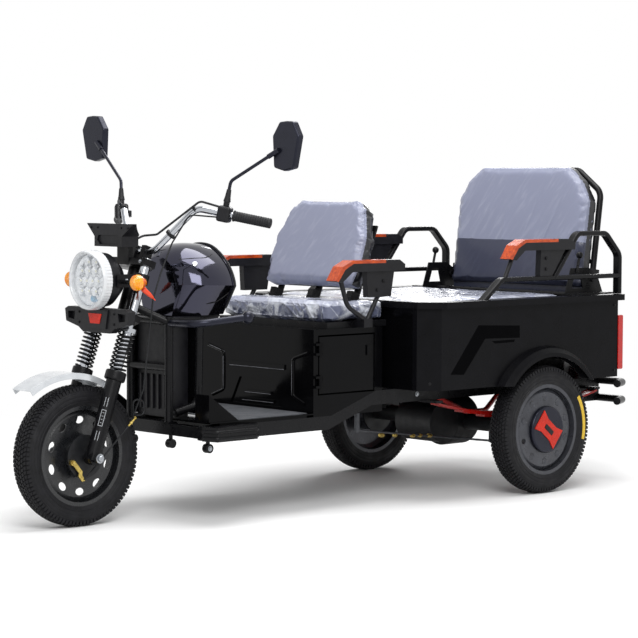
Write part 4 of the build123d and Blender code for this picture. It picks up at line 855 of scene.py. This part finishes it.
class TRIKE_OT_indicators(bpy.types.Operator):
    """Amber lenses with moulded rings, their cups, and the rubber boots on their leads"""
    bl_idname = "trike.indicators"
    bl_label = "Indicators"

    def execute(self, context):
        low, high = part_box("indicators")
        ahead = Vector((1, 0, 0))
        lenses, cups, boots = bmesh.new(), bmesh.new(), bmesh.new()
        for side in SIDES.values():
            middle = Vector((low.x, side * (high.y - 26 * MM), (low.z + high.z) / 2)) + ahead * 30 * MM
            cup = [(-30, 9), (-29, 12.5), (-12, 22.5), (-8, 24.6), (-6, 25.4), (-5, 25)]
            turned(cups, cup, middle, ahead, 48)
            rings = [(-6, 24.6), (-5, 26), (1, 26), (2, 25)]
            for k in range(7):
                r = 23.4 - 3.2 * k
                lift = 19 * math.sqrt(max(0, 1 - (r / 25.5) ** 2))
                rings += [(lift + 1.4, r + 0.9), (lift + 0.6, r - 1.4)]
            turned(lenses, rings, middle, ahead, 48)
            start, end = at(1590, side * 168, 766), at(1546, side * 165, 735)
            steps = (0, 0.04, 0.5, 0.52, 0.95, 1)
            bar(boots, [start.lerp(end, t) for t in steps], [7.5, 9, 7.4, 8, 4.6, 3.4], 16)
            bar(boots, [end, at(1536, side * 163, 728)], [2.2, 2], 8)
        fitted("indicator_cups", cups, "steering", "amber_deep")
        fitted("indicator_lenses", lenses, "steering", "amber", "indicators")
        fitted("indicator_boots", boots, "steering", "boot")
        return {"FINISHED"}


# ---------------------------------------------------------------- handlebar

class TRIKE_OT_controls(bpy.types.Operator):
    """Ringed grips, rubber boots on the mirror stems, buttons on the switch housings and straps on the bar"""
    bl_idname = "trike.controls"
    bl_label = "Controls"

    def execute(self, context):
        grips, boots, straps, buttons = bmesh.new(), bmesh.new(), bmesh.new(), bmesh.new()
        for side in SIDES.values():
            end, inward = on_bar(0, 0, 0, side), on_bar(100, 0, 0, side) - on_bar(0, 0, 0, side)
            profile = [(-6, 12), (-4.5, 15.6), (-3, 16.5)]
            for k in range(14):
                a = 2 + k * 8
                profile += [(a, 16.5), (a + 0.8, 15.5), (a + 2.2, 15.5), (a + 3, 16.5)]
            profile += [(116, 16.5), (118, 18.4), (121, 18.4), (122, 17)]
            turned(grips, profile, end, inward, 40)
            base, top = on_bar(pod_middle, 0, 0, side), on_bar(pod_middle, 0, 100, side)
            turned(boots, [(40, 11.5), (44, 12), (47, 10.6), (50, 11), (53, 9.8), (66, 8.6), (80, 7.4),
                           (81, 6.2)], base, top - base, 28)
            turned(buttons, [(20, 8), (25, 8), (26.5, 6.6), (27, 3)], on_bar(pod_middle, -6, 8, side),
                   inward, 24)
            for share, wide in ((0.4, 17.5), (0.98, 12.6)):
                spot = bar_middle.lerp(bar_peak, share)
                way = at(*bar_peak) - at(*bar_middle)
                place, way = at(spot.x, side * spot.y, spot.z), Vector((way.x, side * way.y, way.z))
                turned(straps, [(-5, wide - 1.5), (-4.4, wide), (4.4, wide), (5, wide - 1.5)], place, way, 24)
        for made, mesh, look, slot, instead in (
                ("ringed_grips", grips, "soft_rubber", "rubber", "grips"),
                ("mirror_stem_boots", boots, "soft_rubber", "rubber", None),
                ("bar_straps", straps, "soft_rubber", "rubber", None),
                ("switch_buttons", buttons, "blue", "black_plastic", None)):
            fitted(made, mesh, "steering", look, instead)
        return {"FINISHED"}


# ---------------------------------------------------------------- small parts

# Hexagon heads: the part they sit on, its body, the finish, the head's radius, the way they face, and
# where they start, in millimetres; each comes in from there until it lands. Pairs stand on both sides.
BOLTS = (
    ("fork_clamps", "steering", "zinc", 5, (1, 0, 0), ((1650, 88, 851), (1650, 88, 677))),
    ("front_axle", "steering", "zinc", 11, (0, 1, 0), ((1730, 160, 228.5),)),
    ("lamp_bracket", "steering", "zinc", 5, (0, 1, 0), ((1600, 150, 789), (1560, 150, 789))),
    ("front_trim", "steering", "powder", 3.5, (1, 0, 0), ((1700, 92, 684), (1700, 92, 650))),
    ("instrument_cowl", "steering", "powder", 3, (1, 0, 0), ((1700, 96, 958), (1700, 62, 958))),
    ("armrests", "chassis", "powder", 5, (0, 1, 0), ((676, 380, 772), (706, 380, 742), (-16, 500, 838),
                                                   (-16, 500, 800))),
    ("frame", "chassis", "zinc", 6, (0, 1, 0), ((1420, 320, 252), (1300, 320, 322), (480, 320, 372),
                                                (-300, 340, 372))),
    ("bed_sides", "chassis", "powder", 4, (0, 1, 0), ((556, 500, 420), (-380, 500, 420), (-380, 500, 660))),
    ("rear_axle", "chassis", "zinc", 7, (0, 1, 0), ((0, 600, 300),)),
)


class TRIKE_OT_fasteners(bpy.types.Operator):
    """Hexagon heads with washers where parts are bolted on"""
    bl_idname = "trike.fasteners"
    bl_label = "Fasteners"

    def execute(self, context):
        for node, body, look, radius, facing, places in BOLTS:
            built = bmesh.new()
            for x, y, z in places:
                for side in SIDES.values():
                    out = Vector((facing[0], facing[1] * side, facing[2]))
                    place, normal = landed(node, at(x, y * side, z), -out)
                    if place:
                        bolt(built, place, normal, radius)
            fitted(f"{node}_bolts", built, body, look)
        return {"FINISHED"}


class TRIKE_OT_tank_trim(bpy.types.Operator):
    """Edge rubber, pressed lines and key cap on the cover between the knees"""
    bl_idname = "trike.tank_trim"
    bl_label = "Tank trim"

    def execute(self, context):
        low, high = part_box("tank")
        rubber, lines, cap = bmesh.new(), bmesh.new(), bmesh.new()
        middle = Vector((low.x + 1.5 * MM, 0, low.z + 60 * MM))
        edge = []
        for i in range(-16, 197, 4):
            out = Vector((0, math.cos(math.radians(i)), math.sin(math.radians(i))))
            place, _ = landed("tank", middle + out, -out)
            if place:
                edge.append(place)
        bar(rubber, edge, 4.2, 10)
        for side in SIDES.values():
            for rows in (((1250, 868), (1290, 858), (1340, 856), (1372, 852)),
                         ((1222, 742), (1262, 716), (1300, 708), (1380, 706))):
                run = []
                for x, z in rows:
                    place, _ = landed("tank", at(x, side * 400, z), Vector((0, -side, 0)))
                    if place:
                        run.append(place)
                if len(run) > 1:
                    bar(lines, through(run, 6), 1.6, 8)
        place, out = landed("tank", at(1340, 400, 838), Vector((0, -1, 0)))
        turned(cap, [(-2, 10), (2, 10), (3, 9), (3.4, 6), (2.6, 5.5), (2.6, 1)], place, out, 28)
        fitted("tank_edge_rubber", rubber, "chassis", "soft_rubber")
        fitted("tank_pressed_lines", lines, "chassis", "powder")
        fitted("tank_key_cap", cap, "chassis", "chrome")
        return {"FINISHED"}


class TRIKE_OT_sheets(bpy.types.Operator):
    """Black sheets by the front cage and under the tank-like cover, the bar behind the bench, and the flap"""
    bl_idname = "trike.sheets"
    bl_label = "Sheets"

    def execute(self, context):
        built = bmesh.new()
        # The sheet under the cover and the two sheets in the front column are plain black boards that close
        # the view into them: they stand partly for real inner panels and partly for the shaded inside,
        # painted shade.
        low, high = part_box("tank")
        rows = []
        for drop, inset in ((-0.004, 0.006), (0.004, 0.004), (0.024, 0.014)):
            back, front = low.x + inset + 0.012, high.x - inset - 0.02
            rows.append([Vector((back, y * (0.118 - inset), low.z - drop)) for y in (-1, 1)]
                        + [Vector((front, y * (0.078 - inset), low.z - drop)) for y in (1, -1)])
        rings = [ring_of(built, row) for row in rows]
        for first, second in zip(rings, rings[1:]):
            bridge(built, first, second)
        built.faces.new(rings[0])
        built.faces.new(rings[-1])
        bar(built, [at(-300, y, 694) for y in (-360, 0, 360)], 11, 16)
        outline = ((1304, 342), (1424, 342), (1424, 664), (1304, 664))
        prism(built, [at(x, -123, z) for x, z in outline], [at(x, -121, z) for x, z in outline])
        outline = ((-122, 342), (122, 342), (122, 664), (-122, 664))
        prism(built, [at(1302, y, z) for y, z in outline], [at(1304, y, z) for y, z in outline])
        fitted("inner_sheets", built, "chassis", "powder", smooth=False)

        flap = bmesh.new()
        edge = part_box("rear_backrest")[0].z
        under = [v.co.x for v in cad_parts["rear_backrest"].data.vertices if v.co.z < edge + 0.01]
        x = (min(under) + max(under)) / 2
        rows = ((x - 0.002, edge - 0.01), (x + 0.002, edge - 0.01), (x + 0.002, edge + 0.034),
                (x - 0.002, edge + 0.034))
        prism(flap, [Vector((u, -0.335, z)) for u, z in rows], [Vector((u, 0.335, z)) for u, z in rows])
        fitted("back_cover_flap", flap, "passenger_back", "vinyl_dark", smooth=False)
        return {"FINISHED"}


# Under and upper face of the film on the bed's sides, the legs' distance from the middle and the radius
# that their printed lines lie on, in millimetres.
FILM = (465.1, 465.5)
LEG_Y = 88
LINE_RADIUS = 25.2


class TRIKE_OT_markings(bpy.types.Operator):
    """Plain stripes on the bed's sides, lines on the fork legs and the yellow strip on the rear tyres"""
    bl_idname = "trike.markings"
    bl_label = "Markings"

    def execute(self, context):
        stripes, lines = bmesh.new(), bmesh.new()
        shapes = (
            ((483, 450), (418, 446), (312, 566), (134, 562), (135, 605), (345, 614)),
            ((278, 556), (160, 557), (164, 548), (261, 547)),
        )
        for side in SIDES.values():
            for shape in shapes:
                base, top = ([at(x, side * y, z) for x, z in shape] for y in FILM)
                prism(stripes, base, top)

            def on_leg(turn, height):
                a = math.radians(40) + turn
                return on_fork(LINE_RADIUS * math.cos(a), side * (LEG_Y + LINE_RADIUS * math.sin(a)), height)

            for height in (181, 69):
                for turn in (-0.18, 0.18):
                    bar(lines, [on_leg(turn, height - 15), on_leg(turn, height + 15)], 0.8, 6)
            box = [(-0.28, 102), (-0.28, 154), (0.28, 154), (0.28, 102), (-0.28, 102)]
            for (t0, h0), (t1, h1) in zip(box, box[1:]):
                bar(lines, [on_leg(t0 + (t1 - t0) * k / 4, h0 + (h1 - h0) * k / 4) for k in range(5)], 0.8, 6)
            for k in range(4):
                bar(lines, [on_leg(-0.12, 112 + 11 * k), on_leg(0.12, 112 + 11 * k)], 0.7, 6)
        fitted("bed_side_stripes", stripes, "chassis", "stripe")
        fitted("fork_leg_lines", lines, "steering", "ink")

        for name, side in SIDES.items():
            inset = bmesh.new()
            low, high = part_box(f"cap_plate_{name}")
            face = high.y if side > 0 else low.y
            turn = math.radians(-39)
            for long, wide, y0, y1 in ((25, 9, -0.002, 0.0008), (22.5, 6.5, 0.0008, 0.0016)):
                ring = []
                for u, v in ((-long, -wide), (long, -wide), (long, wide), (-long, wide)):
                    ring.append(((u * math.cos(turn) + v * math.sin(turn)) * MM,
                                 (-u * math.sin(turn) + v * math.cos(turn)) * MM))
                middle = Vector((axle_x, face, tyre_radius))
                prism(inset, [middle + Vector((x, side * y0, z)) for x, z in ring],
                      [middle + Vector((x, side * y1, z)) for x, z in ring])
            body = f"rear_wheel_{name}"
            fitted(f"hub_plate_inset_{name}", inset, body, "pp", smooth=False)
            strip = bmesh.new()
            rows = ((202, range(-14, 35, 3)), (188, range(34, -15, -3)))
            outline = [(r, math.radians(a)) for r, angles in rows for a in angles]
            wall = (rear_track + tyre_width) / 2
            base, top = ([Vector((axle_x - r * MM * math.cos(a), side * (wall + lift),
                                  tyre_radius + r * MM * math.sin(a))) for r, a in outline]
                         for lift in (-0.002, 0.0004))
            prism(strip, base, top)
            fitted(f"tyre_strip_{name}", strip, body, "label")
        return {"FINISHED"}


# Painted highlights along the box's pressed beads: runs of (across, height) on its front, in mm.
BEAD_HIGHLIGHTS = (
    ((-124, 474), (158, 474)), ((-49, 385), (85, 385)), ((-63, 357), (99, 357)),
    ((-243, 541), (-158, 520), (-158, 388)), ((-219, 366), (-160, 388)), ((197, 512), (197, 389)),
)


class TRIKE_OT_bead_highlights(bpy.types.Operator):
    """Thin painted highlights along the pressed beads of the driver's box"""
    bl_idname = "trike.rubbed_edges"
    bl_label = "Rubbed edges"

    def execute(self, context):
        built = bmesh.new()
        for run in BEAD_HIGHLIGHTS:
            places = []
            for (y0, z0), (y1, z1) in zip(run, run[1:]):
                for k in range(7):
                    y, z = y0 + (y1 - y0) * k / 6, z0 + (z1 - z0) * k / 6
                    place, _ = landed("seat_box", at(1200, y, z), Vector((-1, 0, 0)))
                    if place and (not places or (place - places[-1]).length > 1 * MM):
                        places.append(place)
            bar(built, places, 1.1, 8)
        fitted("rubbed_bead_edges", built, "chassis", "bead_highlight")
        return {"FINISHED"}


class TRIKE_OT_floor_mat(bpy.types.Operator):
    """Ribbed rubber mat in the footwell"""
    bl_idname = "trike.floor_mat"
    bl_label = "Floor mat"

    def execute(self, context):
        built = bmesh.new()
        half, rear, front, floor = 286, 986, 1292, 336

        def slab(x0, x1, y0, y1, z0, z1, inset):
            low = [at(x, y, z0) for x, y in ((x0, y0), (x1, y0), (x1, y1), (x0, y1))]
            high = [at(x, y, z1) for x, y in ((x0 + inset, y0 + inset), (x1 - inset, y0 + inset),
                                              (x1 - inset, y1 - inset), (x0 + inset, y1 - inset))]
            prism(built, low, high)

        slab(rear, front, -half, half, floor - 0.5, floor + 1.6, 1)
        for k in range(-23, 24):
            slab(rear + 12, front - 12, 12 * k - 3.4, 12 * k + 3.4, floor + 1, floor + 3.6, 1)
        fitted("footwell_mat", built, "chassis", "mat", smooth=False)
        return {"FINISHED"}


class TRIKE_OT_brake_gear(bpy.types.Operator):
    """Adjusters on the brake rod, the cranked lever's nut and the cable's adjuster"""
    bl_idname = "trike.brake_gear"
    bl_label = "Brake gear"

    def execute(self, context):
        rod, front = bmesh.new(), bmesh.new()
        along = Vector((1, 0, 0.08))
        for x, z, long in ((497, 216, 16), (433, 212, 10), (342, 204, 14), (307, 202, 10), (256, 198, 16)):
            turned(rod, [(0, 6), (0.8, 7.5), (long - 0.8, 7.5), (long, 6)], at(x, 150, z), along, 6)
            turned(rod, [(-3, 5), (long + 3, 5)], at(x, 150, z), along, 12)
        stop, lever = at(1560, 80, 336), at(1744, 64, 157)
        turned(front, [(-14, 4), (-13, 6), (-6, 6), (-6, 4.4), (10, 4.4), (10, 6.4), (15, 6.4), (16, 3.6),
                       (26, 3.2)], stop, lever - stop, 6)
        bolt(front, at(1786, 61, 212.5), Vector((0, 1, 0)), 6)
        fitted("brake_rod_adjusters", rod, "chassis", "gold_zinc")
        fitted("brake_cable_adjuster", front, "steering", "gold_zinc")
        return {"FINISHED"}


# ---------------------------------------------------------------- finishes on the carried-over parts

class TRIKE_OT_finishes(bpy.types.Operator):
    """Enamel, powder coat, plating and rubber on the carried-over parts"""
    bl_idname = "trike.finishes"
    bl_label = "Finishes"

    def execute(self, context):
        LOOKS.update(make_finishes())
        for look, names in WORN.items():
            for name in names.split():
                dress(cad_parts[name], look)
        return {"FINISHED"}


# ---------------------------------------------------------------- stage

WORLD_LIGHT = 0.55
FLOOR_REACH = 40.0


def seen_directly(add):
    """1 for rays from the camera, also where they are mirrored or pass through glass."""
    rays = add("LightPath").outputs
    seen = add("Math", {0: rays["Is Camera Ray"], 1: rays["Is Transmission Ray"]}, operation="MAXIMUM")
    return add("Math", {0: seen.outputs[0], 1: rays["Is Glossy Ray"]}, operation="MAXIMUM").outputs[0]


def backdrop_finish(name, near, far):
    """Pale matt floor that keeps the shadow and grows plain white away from the machine."""
    material = bpy.data.materials.new(name)
    material.use_nodes = True
    tree = material.node_tree
    tree.nodes.clear()
    add = functools.partial(add_node, tree)
    paper = add("BsdfDiffuse", {"Color": linear("f2f2f2")})
    white = add("Emission", {"Color": (1, 1, 1, 1), "Strength": 1.0})
    place = add("TexCoord").outputs["Object"]
    away = add("VectorMath", {0: place}, operation="LENGTH").outputs["Value"]
    share = add("MapRange", {"Value": away, "From Min": near, "From Max": far},
                interpolation_type="SMOOTHSTEP")
    both = add("Math", {0: share.outputs[0], 1: seen_directly(add)}, operation="MULTIPLY")
    mix = add("MixShader", {0: both.outputs[0], 1: paper.outputs[0], 2: white.outputs[0]})
    add("OutputMaterial", {"Surface": mix.outputs[0]})
    return material


def lamp(name, place, target, wide, high, watts, tint="ffffff"):
    """A soft box that looks at target."""
    data = bpy.data.lights.new(name, "AREA")
    data.shape = "RECTANGLE"
    data.size, data.size_y, data.energy = wide, high, watts
    data.color = linear(tint)[:3]
    obj = bpy.data.objects.new(name, data)
    bpy.context.scene.collection.objects.link(obj)
    obj.location = place
    obj.rotation_mode = "QUATERNION"
    obj.rotation_quaternion = (Vector(target) - Vector(place)).to_track_quat("-Z", "Y")
    return obj


class TRIKE_OT_stage(bpy.types.Operator):
    """Pale floor, soft lamps, white world and the camera"""
    bl_idname = "trike.stage"
    bl_label = "Stage"

    def execute(self, context):
        built = bmesh.new()
        corners = [(x * FLOOR_REACH, y * FLOOR_REACH) for x, y in ((-1, -1), (1, -1), (1, 1), (-1, 1))]
        prism(built, [(x, y, -0.02) for x, y in corners], [(x, y, 0) for x, y in corners])
        floor = piece("studio_floor", built, None, smooth=False)
        floor.data.materials.append(backdrop_finish("pale_paper_floor", 1.4, 3.2))

        world = bpy.data.worlds.new("studio")
        context.scene.world = world
        world.use_nodes = True
        tree = world.node_tree
        tree.nodes.clear()
        add = functools.partial(add_node, tree)
        soft, white = (add("Background", {"Color": (1, 1, 1, 1), "Strength": strength})
                       for strength in (WORLD_LIGHT, 1.0))
        mix = add("MixShader", {0: seen_directly(add), 1: soft.outputs[0], 2: white.outputs[0]})
        add("OutputWorld", {"Surface": mix.outputs[0]})

        middle = (0.0, 0.0, 0.6)
        lamp("key", (2.6, 3.4, 3.2), middle, 2.6, 2.0, 150)
        lamp("top", (-0.2, 0.3, 3.6), middle, 3.0, 2.0, 110)
        lamp("rim", (-3.4, -2.2, 2.4), middle, 1.6, 1.6, 60)

        # The camera stands ahead and to the left, a little above the saddle's height.
        yaw, pitch, roll = -2.3182, 0.0605, 0.004
        ahead = Vector((math.cos(yaw) * math.cos(pitch), math.sin(yaw) * math.cos(pitch), -math.sin(pitch)))
        right = ahead.cross(Vector((0, 0, 1))).normalized()
        up = right.cross(ahead)
        across = right * math.cos(roll) + up * math.sin(roll)
        upright = up * math.cos(roll) - right * math.sin(roll)
        data = bpy.data.cameras.new("camera")
        data.sensor_width = 36.0
        data.lens = 131.6
        data.clip_end = 200
        camera = bpy.data.objects.new("camera", data)
        context.scene.collection.objects.link(camera)
        place = at(6227.6, 5998.9, 1121.8)
        camera.matrix_world = Matrix((
            (across.x, upright.x, -ahead.x, place.x), (across.y, upright.y, -ahead.y, place.y),
            (across.z, upright.z, -ahead.z, place.z), (0, 0, 0, 1)))
        context.scene.camera = camera
        context.scene.view_settings.view_transform = "Standard"
        return {"FINISHED"}


OPERATORS = (TRIKE_OT_finishes, TRIKE_OT_tyres, TRIKE_OT_headlamp, TRIKE_OT_indicators, TRIKE_OT_controls,
             TRIKE_OT_tank_trim, TRIKE_OT_sheets, TRIKE_OT_bead_highlights, TRIKE_OT_markings,
             TRIKE_OT_floor_mat, TRIKE_OT_brake_gear, TRIKE_OT_fasteners, TRIKE_OT_driver_seat,
             TRIKE_OT_passenger_seat, TRIKE_OT_stage)


class TRIKE_PT_panel(bpy.types.Panel):
    """Lists the tricycle's pieces and settings"""
    bl_idname = "TRIKE_PT_panel"
    bl_label = "Cargo tricycle"
    bl_space_type = "VIEW_3D"
    bl_region_type = "UI"
    bl_category = "Tricycle"

    def draw(self, context):
        for operator in OPERATORS:
            self.layout.operator(operator.bl_idname)
        for group in (context.scene.trike_colours, context.scene.trike_sizes):
            box = self.layout.box()
            for key in group.bl_rna.properties.keys():
                if key not in ("rna_type", "name"):
                    box.prop(group, key)


CLASSES = (TrikeColours, TrikeSizes) + OPERATORS + (TRIKE_PT_panel,)


def register():
    for cls in CLASSES:
        bpy.utils.register_class(cls)
    bpy.types.Scene.trike_colours = bpy.props.PointerProperty(type=TrikeColours)
    bpy.types.Scene.trike_sizes = bpy.props.PointerProperty(type=TrikeSizes)


def unregister():
    del bpy.types.Scene.trike_sizes
    del bpy.types.Scene.trike_colours
    for cls in reversed(CLASSES):
        bpy.utils.unregister_class(cls)


def main():
    register()
    for operator in OPERATORS:
        group, call = operator.bl_idname.split(".")
        getattr(getattr(bpy.ops, group), call)()


if __name__ == "__main__":
    main()
